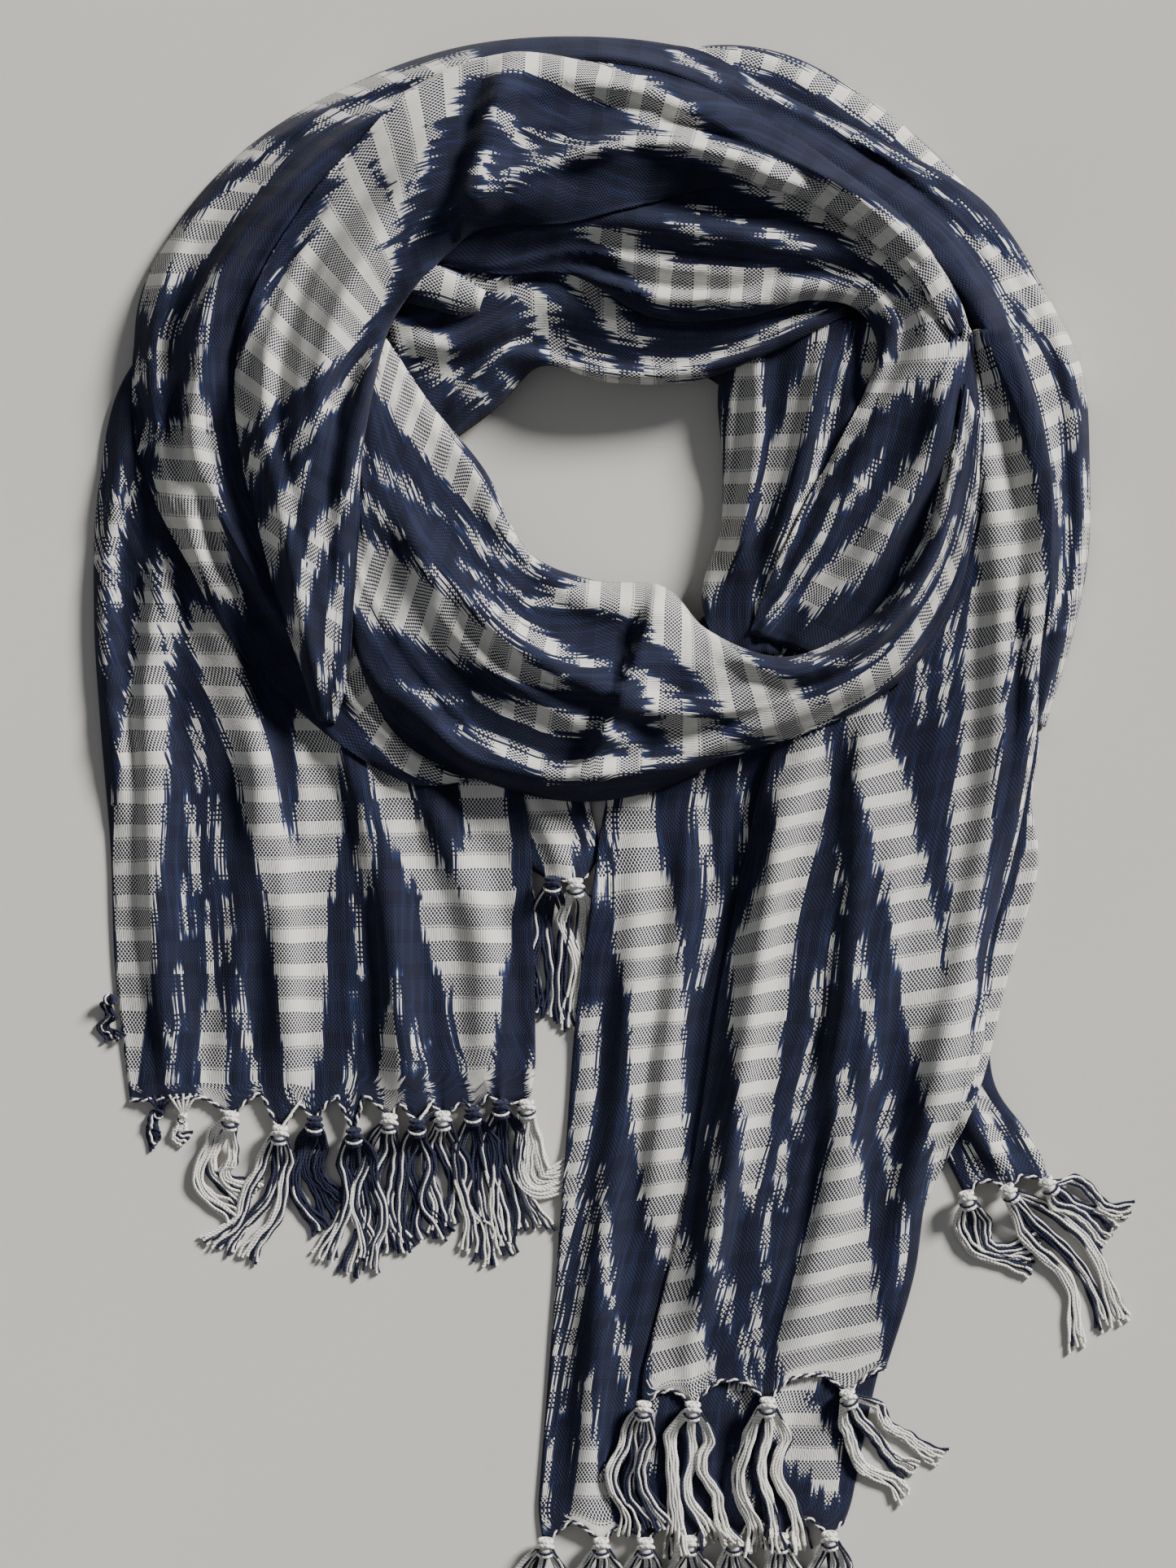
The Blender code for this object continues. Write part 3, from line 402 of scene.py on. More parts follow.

# Dye charts. Each is drawn over its own part of the scarf, in squares from the chart's top left corner. The
# swag's chart also holds painted highlights: white strokes along the edges of its right end.
LEFT_TAIL_CHART = Chart(-225.0, 175.7, 1.875, (
    ((16, 28, 3.5), (16, 38, 5.5), (14, 48, 4.5), (13.5, 58, 5), (12.5, 70, 5.5), (11.5, 85, 5.5),
     (10.5, 100, 5.2), (10.5, 115, 4.6), (10, 126, 4), (10, 136, 2.6), (10, 144, 1.5)),
    ((3.5, 10, 0.3), (3, 22, 0.6), (3.3, 35, 0.9), (4, 48, 0.5)),
    ((8, 5, 0.8), (6, 16, 1.2), (5.5, 24, 1.2), (6.5, 33, 0.6)),
    ((28, 40, 5.5), (31, 52, 4.5), (35, 62, 4.5), (38, 72, 4.5), (41, 84, 4.5), (44, 94, 5), (47.5, 101, 7),
     (48, 110, 6.3), (48.5, 122, 5.3), (48.5, 134, 4.5), (48, 147, 2.5)),
    ((52, 60, 5.5), (52.5, 75, 5.3), (53, 88, 4.8), (50, 98, 6)),
    ((24.2, 58, 0.5), (25, 66, 1.1), (25.5, 75, 0.8)),
    ((23, 78, 0.5), (24.2, 88, 1.1), (25, 98, 0.7)),
    ((28.5, 80, 0.5), (29.3, 88, 1.1), (30, 96, 0.5)),
    ((21.5, 98, 0.4), (22.5, 104, 1), (23, 109, 0.5)),
    ((27, 104, 0.5), (27.2, 114, 0.9), (28, 120, 1.2), (28.5, 127, 2.6), (28.5, 138, 3.5),
     (28.5, 150, 3.5)),
    ((31.5, 101, 0.5), (32, 107, 1.1), (31, 114, 0.8)),
    ((20.6, 117, 0.5), (21, 123, 0.9), (21.3, 130, 0.4)),
    ((34, 119, 0.5), (34.8, 127, 1), (36.5, 133, 0.9), (38, 140, 1), (38.6, 147, 0.6)),
    ((18.6, 132, 0.9), (18.8, 142, 0.7)),
    ((63, 82, 0.6), (63.5, 89, 2.2), (64, 96, 1.7), (64, 101, 0.6)),
    ((61.3, 103, 0.5), (62, 110, 1), (62.7, 118, 0.6)),
    ((61, 124, 0.5), (61.5, 131, 0.9), (61.5, 137, 0.5)),
    ((59.6, 139, 0.6), (60, 149, 1)),
    ((70.5, 119, 0.5), (71, 125, 1.1), (70.5, 131, 0.6)),
    ((68.5, 128, 0.6), (69, 136, 2.3), (69.5, 150, 2.6)),
    ((74, 131, 0.5), (74.6, 140, 0.8)),
    ((77, 136, 0.3), (78, 147, 0.6)),
    ((68, 72, 4), (72, 84, 4), (77, 95, 4), (82, 103, 4)),
    ((90, 76, 5), (92, 88, 5), (89, 98, 8.5), (86, 105, 10.5), (87, 113, 9), (88, 122, 6), (88.5, 132, 4.8),
     (89, 142, 3), (89.5, 148, 1.5)),
    ((101, 138, 0.4), (101.5, 146, 0.9)),
), (
    ((15.4, 20, 0.5), (16.3, 34, 0.4), (17.5, 44, 0.3)),
    ((80.5, 73, 3), (82, 84, 2.2), (83.6, 94, 0.9), (84.4, 99, 0.2)),
))

OUTER_LEFT_CHART = Chart(-225.0, 350.7, 1.563, (
    ((104, 4, 1.8), (92, 8, 2.3), (80, 10, 2.7), (70, 12.5, 2.5), (62, 15.5, 1.6), (54, 18.5, 0.7)),
    ((86, 2.5, 0.8), (78, 4.5, 0.9), (72, 7, 0.4)),
    ((90, 14, 2), (78, 18, 2.1), (70, 20, 2.2), (62, 23, 1.2)),
    ((52, 26, 0.8), (46, 29, 2.2), (39, 30.5, 3.2), (33, 33.5, 1.6), (29, 36, 0.4)),
    ((53, 29, 1), (48, 35, 2.4), (42, 41, 3.4), (36, 47, 4), (31, 53, 3.8), (27, 59, 2.8), (23.5, 66, 0.9)),
    ((29.5, 48, 0.8), (23.5, 54, 3.2), (19.5, 60, 3.8), (17.5, 66, 3.1), (16, 73, 1)),
    ((34, 67, 0.6), (29.5, 72, 1.3), (25.5, 77, 0.5)),
    ((23.5, 75, 0.4), (21.2, 82, 1.4), (20.6, 88, 1.3), (20, 93, 0.4)),
    ((18.5, 84, 0.5), (14.5, 89, 1.1), (11.5, 95.5, 1.5), (10, 100, 0.4)),
    ((19.5, 105, 0.5), (15, 110, 1.4), (12.5, 115, 0.5)),
    ((34.5, 64, 0.3), (33, 80, 0.7), (31, 88, 1.3), (29.5, 96, 2.2), (31, 104, 2.9), (27.5, 113, 6.3),
     (26, 121, 8), (26.8, 130, 7.5), (27.5, 138, 6), (28.5, 148, 3.6), (30, 157, 3)),
    ((12.5, 120, 0.6), (10.5, 126, 1.4), (9, 133, 0.6)),
    ((0.5, 84, 0.4), (3.5, 112, 0.4), (2, 140, 0.8)),
))

LOOP_END_CHART = Chart(-225.0, 175.7, 1.875, (
    ((23, 0, 7), (25, 10, 6.5), (27, 20, 5), (29, 27, 3.5), (33, 33, 2)),
    ((60, 44, 2.5), (64, 54, 4.5), (68, 62, 5), (73, 68, 4.5), (80, 73, 2.8), (88, 76, 1)),
), (
    ((66, 44, 0.5), (74, 57, 0.5), (85, 71, 0.6)),
))

RIGHT_UNDER_CHART = Chart(-39.55, 81.2, 2.388, (
    ((21.5, 20, 2.5), (21.2, 30, 4.2), (22, 40, 5.5), (23, 50, 6), (24.4, 58, 5.2), (24.5, 68, 5),
     (24.8, 78, 4.8), (25.5, 87, 4.5), (26.5, 96, 3.6), (27, 104, 2)),
    ((12.6, 62, 1.7), (11.6, 75, 2), (10.3, 85, 1.7), (9.2, 93, 1.3), (8.2, 102, 0.7), (7, 112, 0.5),
     (6.3, 126, 0.5), (5, 140, 0.5), (4.6, 152, 0.4)),
    ((16, 20, 0.4), (15, 32, 0.5), (14.4, 41, 0.3)),
    ((32, 19, 1.2), (32.6, 27, 1.2), (34, 33, 1), (34.6, 41, 1.2), (33.6, 48, 1.2), (32.3, 55, 0.5)),
    ((40, 18, 0.6), (40, 28, 0.9), (39, 37, 0.4)),
    ((14.5, 90, 0.4), (15.2, 100, 0.8), (16, 112, 0.6)),
    ((12.2, 96, 0.4), (11.6, 106, 0.7), (10, 114, 0.7), (8.6, 124, 0.7), (7.6, 132, 0.3)),
    ((17.6, 116, 0.5), (18.8, 124, 0.9), (19.6, 129, 0.4)),
    ((12, 126, 0.8), (12, 137, 1.8), (12.5, 146, 3.2), (12.6, 155, 4.8)),
    ((23.4, 132, 0.6), (23.4, 143, 0.9)),
    ((45, 127, 2.6), (49, 134, 4.6), (53, 141, 4.4), (56, 147, 1.5)),
    ((39, 130, 1.6), (43, 127, 1.2)),
    ((39, 140, 0.8), (40.4, 149, 1.1)),
    ((62, 20, 3), (66, 60, 4), (58, 110, 5), (50, 128, 3)),
))

RIGHT_OVER_CHART = Chart(-39.55, 81.2, 2.388, (
    ((52, 13, 3.4), (50.4, 20, 5), (49.5, 28, 4.2), (47.7, 35, 4), (45.4, 43, 4.4), (43.4, 50, 5.6),
     (42.6, 58, 5), (42.3, 66, 4.5), (42.5, 73, 3.8), (42.2, 81, 2.4), (41.6, 89, 1.6), (41, 96, 0.6)),
    ((61.5, 6, 4), (64.3, 18, 4.6), (66.8, 26, 4), (68.2, 34, 4), (70, 42, 4), (71.6, 50, 4.6), (74, 58, 6),
     (75.3, 66, 5.6), (75.2, 74, 3.4), (74.6, 83, 1.8)),
    ((84, -6, 4), (83.4, 6, 4), (82.4, 16, 4), (81.2, 25, 4.4), (80.2, 34, 4.2), (80, 43, 3.6),
     (79, 51, 3.8), (77, 59, 4.4)),
    ((57.5, 33, 0.4), (57.6, 37, 1.1), (57.6, 42, 0.4)),
    ((56.1, 45, 0.4), (56.2, 50, 0.9), (55.6, 55, 0.4)),
    ((60.4, 47, 0.4), (60.8, 52, 1), (61.6, 58, 0.5)),
    ((54.2, 53, 0.5), (53.5, 58, 1.2), (53.4, 63, 0.5)),
    ((62.2, 57, 0.5), (62.8, 65, 0.9), (64, 73, 0.5)),
    ((52, 65, 0.5), (51.7, 70, 1), (50.6, 76, 1.2), (49.8, 82, 0.5)),
    ((47.6, 84, 0.5), (47, 90, 1.2), (46.6, 95, 0.5)),
    ((66.2, 76, 0.5), (65.4, 82, 1.1), (66.6, 89, 0.8), (67, 94, 0.4)),
    ((44.6, 95, 0.4), (44.4, 101, 1), (44.3, 108, 0.4)),
    ((42.4, 111, 0.5), (42.8, 117, 1.1), (43.4, 124, 0.6)),
    ((68.8, 96, 0.4), (68.6, 102, 0.9), (68.2, 108, 0.4)),
    ((34.2, 81, 0.4), (35.2, 90, 1), (34.9, 99, 0.9), (34.4, 106, 0.7)),
    ((36.4, 106, 0.4), (36.8, 112, 0.9), (37.4, 118, 0.4)),
    ((40, 118, 0.5), (41.2, 127, 1)),
    ((58, 71, 0.6), (58, 78, 1.3), (58, 84, 2), (57.5, 90, 3.5), (57, 98, 5.5), (56.5, 106, 7),
     (56, 113, 8.3), (55.5, 120, 9.3), (55.5, 129, 9)),
    ((27.8, 98, 1), (28.4, 105, 2.3), (28, 112, 3.5), (28.2, 119, 4.8), (28.8, 125, 5.4), (29, 132, 5)),
    ((93, 6, 1.5), (91.8, 20, 1), (90.6, 29, 2.1), (88.2, 39, 1.6), (86, 49, 1.3), (84.2, 58, 1.5),
     (82.4, 66, 1.3), (79, 77, 1.3), (75.6, 86, 1.6), (74.2, 93, 1.2)),
    ((92.5, 4, 0.5), (87.5, -10, 1.2), (89.5, -22, 1)),
), (
    ((71, -4, 3.2), (72, 6, 3), (73.4, 16, 3.2), (74.6, 26, 2.6), (75.3, 35, 1.9), (75.8, 44, 1.1),
     (76.2, 52, 0.3)),
    ((88, 2, 1.8), (87.4, 16, 2), (86.2, 30, 1.8), (83.6, 44, 1.2), (82, 54, 0.7)),
    ((58.4, 12, 0.6), (58.6, 20, 1.2), (60, 27, 1.6)),
))

OVER_TOP_CHART = Chart(23.45, 354.2, 1.897, (
    ((67.5, 66, 0.6), (71.5, 78, 1.8), (74, 90, 4), (76, 100, 6), (76.2, 112, 7), (75.4, 122, 6.2),
     (72.4, 131, 5), (71.2, 142, 4.8), (70.5, 158, 4.6)),
    ((81, 110, 2.4), (82.2, 122, 2.3), (82.7, 132, 2.2), (83.6, 143, 1)),
    ((63.4, 118, 0.5), (64, 128, 0.9), (62.6, 140, 1), (62, 152, 0.9)),
    ((57, 140, 0.5), (57.4, 152, 0.8)),
))

FLAP_CHART = Chart(-39.55, 81.2, 2.388, (
    ((81.6, 72, 0.6), (83.6, 78, 1.3), (86, 85, 1.6), (87, 89, 0.9)),
    ((79.6, 84, 0.5), (81.6, 90, 0.9)),
    ((90, 82, 0.4), (93, 87, 0.8), (96, 91, 0.7)),
    ((76, 80, 0.8), (76.6, 90, 0.6)),
))

CENTRE_FLAP_CHART = Chart(-39.55, 81.2, 2.388, (
    ((-2, 12, 5), (4, 22, 4.8), (6, 30, 4.2), (7.2, 36, 2.6)),
    ((12, 20, 0.5), (12.8, 31, 0.7)),
))

LEFT_ROLL_CHART = Chart(-165.6, 350.7, 1.875, (
    ((53, 7, 4), (42.5, 19, 6.2), (35.5, 30, 8), (31.5, 40, 8.7), (29, 50, 11), (22.5, 60, 11.5),
     (14.5, 70, 9.5), (6.5, 79, 6.5), (0, 88, 4)),
    ((31.5, 18, 0.5), (25.6, 23.5, 1.3), (19.6, 30.5, 1.5), (15.8, 36, 0.5)),
    ((15.4, 36, 0.4), (12, 43, 1), (7.4, 51, 1), (3, 59, 0.5)),
    ((12.6, 52.5, 0.3), (10.2, 57, 0.5), (8, 61, 0.3)),
    ((34.2, 70, 0.4), (29.5, 77, 1.1), (23.4, 84, 1.2), (18, 90.6, 0.9), (14.8, 94, 0.4)),
    ((14.6, 86, 0.4), (10.4, 91.6, 1.3), (5.4, 98, 1.6), (1.8, 104, 0.5)),
    ((19.5, 96, 0.5), (15.2, 104, 2.2), (11.2, 111, 3.2), (7.6, 118, 3.6), (6, 126, 2.4), (8.4, 137, 0.8)),
    ((29.4, 102, 0.6), (24.4, 109, 2.2), (21.2, 115, 1.9), (18.7, 123, 1.5), (17, 131, 1.5),
     (15.1, 139, 1.3), (13.4, 148, 0.6)),
    ((26.8, 119, 0.4), (25.6, 128, 1.1), (24.4, 137, 1.3), (22.4, 146, 0.8)),
    ((27, 144, 0.4), (25.4, 152, 1.2)),
    ((32.4, 92, 0.4), (30.4, 99, 0.8), (28.4, 106, 0.4)),
    ((38, 13.5, 0.4), (33.5, 17.5, 1.6), (29.6, 22, 0.6)),
    ((30, 22.6, 0.3), (26.6, 27.4, 1.3), (25, 31, 0.4)),
    ((23.6, 35.6, 0.3), (20.8, 41, 0.7), (17.6, 45.4, 0.3)),
    ((47, 27, 0.4), (43, 34.5, 0.9), (40.4, 39.5, 0.4)),
    ((50, 38.5, 0.4), (46, 42.5, 0.9), (42, 46, 0.5)),
    ((57, 5, 3.4), (66, 4, 3.5), (75, 6, 3.5), (84, 9.2, 4.4), (93, 12.5, 4.8), (101, 17.5, 4.2),
     (108, 22.5, 2.4), (112, 26, 0.8)),
    ((61, 17, 0.7), (64, 19.5, 1.5), (67, 23, 1.4), (71, 27, 0.6)),
    ((70, 21, 0.5), (75, 22.6, 0.8), (82, 24.6, 0.3)),
    ((60.4, 26, 0.6), (58.4, 30, 1.5), (60.5, 33, 0.8)),
    ((122, 31, 0.8), (128, 34.5, 1.5), (133, 38, 1.2), (138, 42, 0.4)),
), (
    ((36, 47.5, 0.3), (41, 44.4, 1.1), (47, 41.5, 1.6), (52, 36, 2.6), (55.5, 26, 3.4), (57.6, 14, 2.2),
     (58, 9, 0.6)),
    ((33, 29, 0.3), (36, 32.5, 0.8), (39, 36, 0.2)),
))

SWAG_DYE_AND_HIGHLIGHT_CHART = Chart(-116.55, 231.7, 1.741, (
    ((11.5, 4, 2.4), (14, 13, 6), (19, 23, 5.6), (26, 33, 4.2), (33, 42, 3), (39.4, 50, 2),
     (46.5, 59, 0.9)),
    ((38, 37, 1), (42, 44, 3), (45, 52, 2.4), (47, 58, 1)),
    ((5.5, 31, 0.4), (11, 36, 0.7), (17.5, 41.5, 0.6), (26, 48.5, 0.3)),
    ((8, 37, 0.2), (14, 40, 0.4), (22, 46, 0.3)),
    ((28.4, 49, 0.6), (32, 53, 1.5), (36, 57.6, 0.9)),
    ((36.6, 55, 0.8), (42, 58.5, 0.9), (49, 61.5, 0.6)),
    ((4, 43, 0.5), (9.5, 47, 0.8), (15.6, 52.5, 0.4)),
    ((17.6, 56.5, 0.6), (22.4, 61, 1.3), (28, 65.5, 0.9), (33.4, 69.5, 0.4)),
    ((-4, 60, 9), (3, 60.5, 8.6), (12, 66, 8), (20, 71, 7.4), (28, 76, 6.4), (36, 80, 5.2), (44, 85, 3.2),
     (53, 88.6, 1)),
    ((31, 60.5, 0.3), (37, 64, 0.8), (44, 67, 0.5)),
    ((33.4, 68, 0.6), (40, 71.5, 1.5), (46, 76, 1.7), (53, 80.4, 1.7), (60, 83.4, 1.1), (66, 84.6, 0.3)),
    ((46, 69, 1), (53, 67.4, 2.4), (60, 66.4, 4), (68, 67, 5), (76, 68.4, 5.4)),
    ((77.5, 69.5, 5.6), (86, 78, 6), (94, 86, 7), (102, 93, 7.8), (110, 97, 6.4), (119, 95.4, 3),
     (125, 92, 1.4)),
    ((70.4, 86, 1), (76.4, 90, 2.4), (81.4, 96.6, 4), (86.4, 101.4, 5.4), (93, 103, 3.2), (99, 104, 1)),
    ((62.6, 98, 0.7), (69.4, 102.4, 1.5), (75.6, 108, 1)),
    ((52, 111, 1.6), (58, 110, 2.4), (66, 108.6, 2.5), (74, 108.4, 1.4), (84, 106.5, 1), (98, 104.5, 1)),
    ((15, 89.4, 0.4), (21.6, 91.6, 0.9), (29.4, 93.2, 0.6)),
    ((35, 92, 0.8), (42, 95, 2.4), (50, 97.4, 2.8), (58, 99, 2.4), (65, 98.4, 0.5)),
    ((28, 99, 0.6), (37.6, 103.6, 1.6), (46, 107, 2), (52, 110.4, 1.6)),
    ((83.6, 68, 0.8), (91, 69, 1.5), (100, 71.6, 1)),
    ((97, 76.6, 0.5), (108, 79.6, 1), (120, 79, 1), (131, 75.6, 0.5)),
    ((116, 74.6, 0.5), (128, 70.6, 1), (138, 66, 0.6)),
    ((113, 82.6, 0.4), (124, 85, 0.7), (133, 81, 0.4)),
    # Painted highlight: a white stroke along the outer edge of the swag's right end, where the rolled edge
    # catches the light.
    ((120, 94.4, 2.4), (128, 90, 3), (135, 84, 2.4), (141, 76, 1.8), (146, 68, 1.5), (151, 58, 1.3),
     (154, 48, 1.1), (156, 36, 1), (157, 24, 0.8)),
    # Painted highlight: a white stroke along the inner edge of the swag's right end.
    ((139, 60, 0.5), (145.4, 50, 1.3), (148.4, 41, 1.4), (152, 30, 1.2), (154.4, 20, 1)),
    ((140, 70, 0.4), (146, 60, 0.7), (149.4, 50, 0.4)),
), (
    ((77, 84, 0.6), (79.4, 80, 0.8), (81, 85, 0.5)),
))

OUTER_RIGHT_CHART = Chart(23.45, 354.2, 1.897, (
    ((3, 5, 0.9), (7, 7, 0.8), (10, 9, 0.3)),
    ((19, 11, 0.5), (24, 13.6, 1.1), (28, 16, 0.4)),
    ((34.6, 19, 0.4), (38.6, 21.2, 1.2), (44, 24, 0.9), (52, 27.6, 0.4), (59, 31.6, 0.4)),
    ((24, 9.6, 0.2), (35, 14, 0.4), (46, 19, 0.3), (58, 27, 0.3)),
    ((60, 35, 0.3), (71, 41.6, 0.4), (79.6, 49.6, 0.4), (85.6, 56, 0.2)),
    ((64.4, 43, 0.6), (71, 48, 1.6), (78, 54, 2.9), (84, 60, 3.9), (88.6, 67, 4), (92, 74, 2.6),
     (94.6, 81, 0.9)),
    ((79.4, 66, 0.5), (82.4, 73, 1.9), (85.6, 81, 2.4), (87, 90, 1.7), (87.8, 99, 0.5)),
    ((73.6, 54, 0.4), (76, 61, 0.8), (77.6, 68, 0.3)),
    ((89.4, 82, 0.6), (90.8, 87, 1.3), (91, 92, 0.6)),
    ((87, 101, 0.4), (90, 111, 0.8), (89, 122, 1), (86, 132, 0.5)),
    ((94, 98, 0.5), (95, 109, 1), (92.4, 121, 0.9), (90, 133, 0.5)),
    ((95.6, 110, 0.3), (93, 126, 0.6), (89.4, 141, 0.9), (86, 153, 1.2)),
    ((70, 72, 0.5), (74, 84, 0.9), (79, 97, 1), (83, 108, 0.6)),
))

UNDER_TOP_CHART = Chart(23.45, 354.2, 1.897, (
    ((-8, 2, 1.4), (6, 3, 1.8), (14, 4, 2.1), (24, 6, 2.4), (33, 9.5, 2.6), (42, 14, 2.4), (50, 19, 2.4),
     (57, 25, 2.4), (64, 32, 2.2), (70, 38, 1.7), (74.5, 43.5, 0.7)),
))

TURN_CHART = Chart(23.45, 354.2, 1.897, (
    ((-22, 24.6, 1.4), (-14, 22.8, 0.9), (-8, 23.2, 1.3), (-3, 25, 2), (6, 27, 2.6), (16, 31, 3.3),
     (26, 36, 3.5), (36, 41, 3.7), (45, 46, 4), (53, 51.4, 4.3), (58, 57.4, 4), (60, 64, 3.2),
     (60, 71, 2.4)),
    ((-18, 45, 1.2), (-10, 48, 3.2), (0, 57, 5), (12, 57.4, 4.6), (22, 57.4, 4.5), (32, 58.4, 3.5),
     (40, 60, 3), (47, 60.4, 2.7), (52, 61.6, 2.3), (54.6, 65.4, 2.1), (53, 71, 1.9)),
    ((-11, 32, 0.3), (-4, 33, 0.5), (4, 35.4, 0.4)),
    ((-15, 37.6, 0.5), (-7, 35.8, 0.7), (0, 36.4, 0.5)),
    ((4.6, 39.6, 0.5), (9.4, 41, 0.9), (15.6, 42.4, 0.4)),
    ((20.6, 45.4, 0.5), (25, 47, 1), (30, 49, 0.6)),
    ((-2, 42.6, 0.3), (4, 44.8, 0.6), (10, 47.6, 0.4)),
    ((33.4, 52.6, 0.5), (39, 55, 0.9), (45, 57, 0.9)),
    ((38, 47, 0.4), (43, 50, 0.8), (48, 53, 0.3)),
    ((60, 65, 3.2), (57, 73, 4.4), (50, 78, 4.4), (44, 82, 3.6), (40, 89, 3), (36, 96, 2), (30.6, 104, 1.6),
     (26.6, 112, 1.8), (23.6, 120, 1.7)),
    ((68.4, 60, 0.8), (67, 67, 2), (63.6, 74, 2), (60, 81, 0.8)),
    ((68.6, 86, 0.8), (66.6, 92, 2.2), (63.6, 99, 2.2), (60.6, 105, 1.4), (58, 111, 0.6)),
    ((59, 89, 0.7), (56, 96, 1.8), (51.6, 104, 2.2), (47, 110.6, 2.9), (42.6, 117, 3.6), (37.6, 122.6, 3.4),
     (32, 128, 2)),
    ((61.6, 109, 0.6), (58.4, 114.6, 1.8), (54, 120, 0.8)),
    ((46.4, 96, 0.5), (43, 102, 1.4), (39, 107.6, 0.6)),
    ((37.6, 105, 0.3), (34.4, 112, 0.9), (31, 118, 1.3), (27, 125, 1.2), (23, 131, 0.9)),
))

INNER_CHART = Chart(23.45, 354.2, 1.897, (
    ((19, 62, 1), (18.6, 72, 2.4), (18, 80, 3.6), (17.4, 88, 4.6), (16, 98, 3.8), (14.6, 108, 3),
     (12, 117, 3), (8.6, 125, 2)),
    ((35.4, 64, 1.2), (32, 74, 2.2), (29, 84, 3), (25.6, 94, 3), (23, 102.6, 2), (21.4, 109, 0.8)),
    ((41, 64, 0.5), (39.4, 76, 1.1), (36, 88, 1.2), (32.6, 100, 1.1), (29, 110, 1.8), (25.6, 118, 2),
     (21, 127, 1.4)),
    ((48, 64, 3), (46, 76, 3)),
))

LIP_CHART = Chart(-109.55, 308.7, 1.719, (
    ((20, 22, 4), (27, 23, 5.6), (36, 24.6, 5.2), (43, 26.4, 3.4)),
    ((26, 35, 1.8), (33, 36, 2.2), (40, 38, 2.6), (45.6, 42.4, 3), (48, 48, 2.4), (50.4, 54, 2.3),
     (55.6, 58, 1.8), (64, 59.6, 1.4), (75, 59.4, 1.6), (86, 57.6, 1.3)),
    ((43, 20, 1), (47.6, 25, 2), (51.6, 30, 2.7), (56, 36, 3.1), (60.6, 42, 3), (66, 48, 1.6),
     (72, 50.4, 0.7)),
    ((51.6, 47.6, 0.6), (57.4, 53.4, 1.1), (65, 57, 0.7)),
    ((70, 54.6, 1), (78, 56, 1.7), (86, 54.6, 1.1), (95, 51.4, 1.1), (104, 47, 1.1), (113, 43, 0.7)),
    ((9, 48, 3.6), (15.6, 51, 5), (21, 55, 3.6), (24, 59, 1.6)),
    ((41.6, 49.6, 0.9), (35.6, 52.6, 0.9), (29.6, 58.4, 0.9)),
    ((26.4, 60.4, 1.3), (28.6, 62, 2), (31.4, 63.6, 1)),
    ((35.6, 57, 0.8), (38, 60, 0.9)),
), (
    ((21, 28.6, 0.6), (31, 30, 1), (42, 33, 1)),
))

RIDGE_CHART = Chart(0, 0, 1.0, (
    ((-57, -284, 1.2), (-40, -292, 1.8), (-26, -297.5, 2.2), (11, -306.5, 2.6), (37, -303, 4.5),
     (60, -294, 6.5), (72, -288, 7), (89, -279, 7.5), (107, -270, 8), (124, -260, 8), (138, -246, 7),
     (140, -232, 4)),
))

UNDER_EDGE_CHART = Chart(0, 0, 1.0, (
    ((186, -60, 3), (183, -14, 5), (178, 11, 5.5), (170, 36, 6), (165, 69, 6), (160, 90, 6)),
    ((173, 95, 2), (150, 104, 5), (140, 121, 5), (134, 150, 3)),
))

DYE_AND_HIGHLIGHT_CHARTS = {
    "left_tail": (LEFT_TAIL_CHART, OUTER_LEFT_CHART._replace(white=OUTER_LEFT_CHART.white[-2:])),
    "outer_loop": (OUTER_LEFT_CHART, LOOP_END_CHART, OUTER_RIGHT_CHART),
    "outer_under": (UNDER_TOP_CHART,),
    "right_under": (RIGHT_UNDER_CHART, UNDER_EDGE_CHART),
    "right_over": (RIGHT_OVER_CHART, OVER_TOP_CHART),
    "right_flap": (FLAP_CHART,),
    "centre_flap": (CENTRE_FLAP_CHART,),
    "left_roll": (LEFT_ROLL_CHART, RIDGE_CHART),
    "front_swag": (SWAG_DYE_AND_HIGHLIGHT_CHART,),
    "right_turn": (TURN_CHART, RIDGE_CHART),
    "right_inner": (INNER_CHART,),
    "top_lip": (LIP_CHART,),
    "tucked_roll": (Chart(-109.55, 308.7, 1.719, (((6, 28, 3), (15, 33, 4), (24, 37, 4), (33, 41, 4)),)),),
}


CELL = 2.5  # spacing of the points of the cloth
CLOTH = 0.9  # thickness of the cloth
CLEAR = 0.15  # air between two layers
SETTLE_ROUNDS = 36  # how far a step in what lies below is smoothed over
EDGE_STEPS = (0.0, 0.5, 1.2, 2.2, 3.6)  # distances of the points nearest to an edge
EDGE_ROLL = 1.3  # radius of a selvedge
FOLD_ROLL = 3.2  # radius of the edge of a stretch that is folded under
FOLD_LIFT = 1.6  # how much sharper a fold stands than in the plain solid
WEFT_SLANT = {"right_over": 0.2, "left_tail": -0.04, "right_turn": 0.1}  # slope of the weft across the warp
HEM_DEPTH = 4.5  # how far the hem draws back between two knots
HEM_REACH = 14.0  # how far into the cloth that is felt
LEAST_STEP = 0.3  # the least step between two points that a slope is worked out over
CORNER_TASSELS = ("corner_tassel_1", "corner_tassel_2")  # too small for solids of their own
FRINGED = ("left_tail", "centre_flap", "right_flap", "right_under", "right_over")
WARP_SLIDE = {"left_roll": (0, 0, 0, 0, 0, 0, 8, 20, 32, 45, 58, 70, 80, 88, 95, 100, 104)}
HELD = {"outer_under": "folded", "outer_loop": "folded", "right_inner": "folded", "top_lip": "folded",
        "right_turn": "folded", "tucked_roll": "folded", "front_swag": "draped", "left_roll": "folded"}

GATHERS = {  # how high the lengthwise folds of a bunched stretch stand
    "outer_under": 2.0, "outer_loop": 2.6, "right_inner": 2.2, "top_lip": 1.6, "right_turn": 2.4,
    "front_swag": 1.9, "left_roll": 1.9, "tucked_roll": 0.5, "right_flap": 0.8, "centre_flap": 0.6,
}
GATHER = 0.9  # the same for a stretch that lies flat

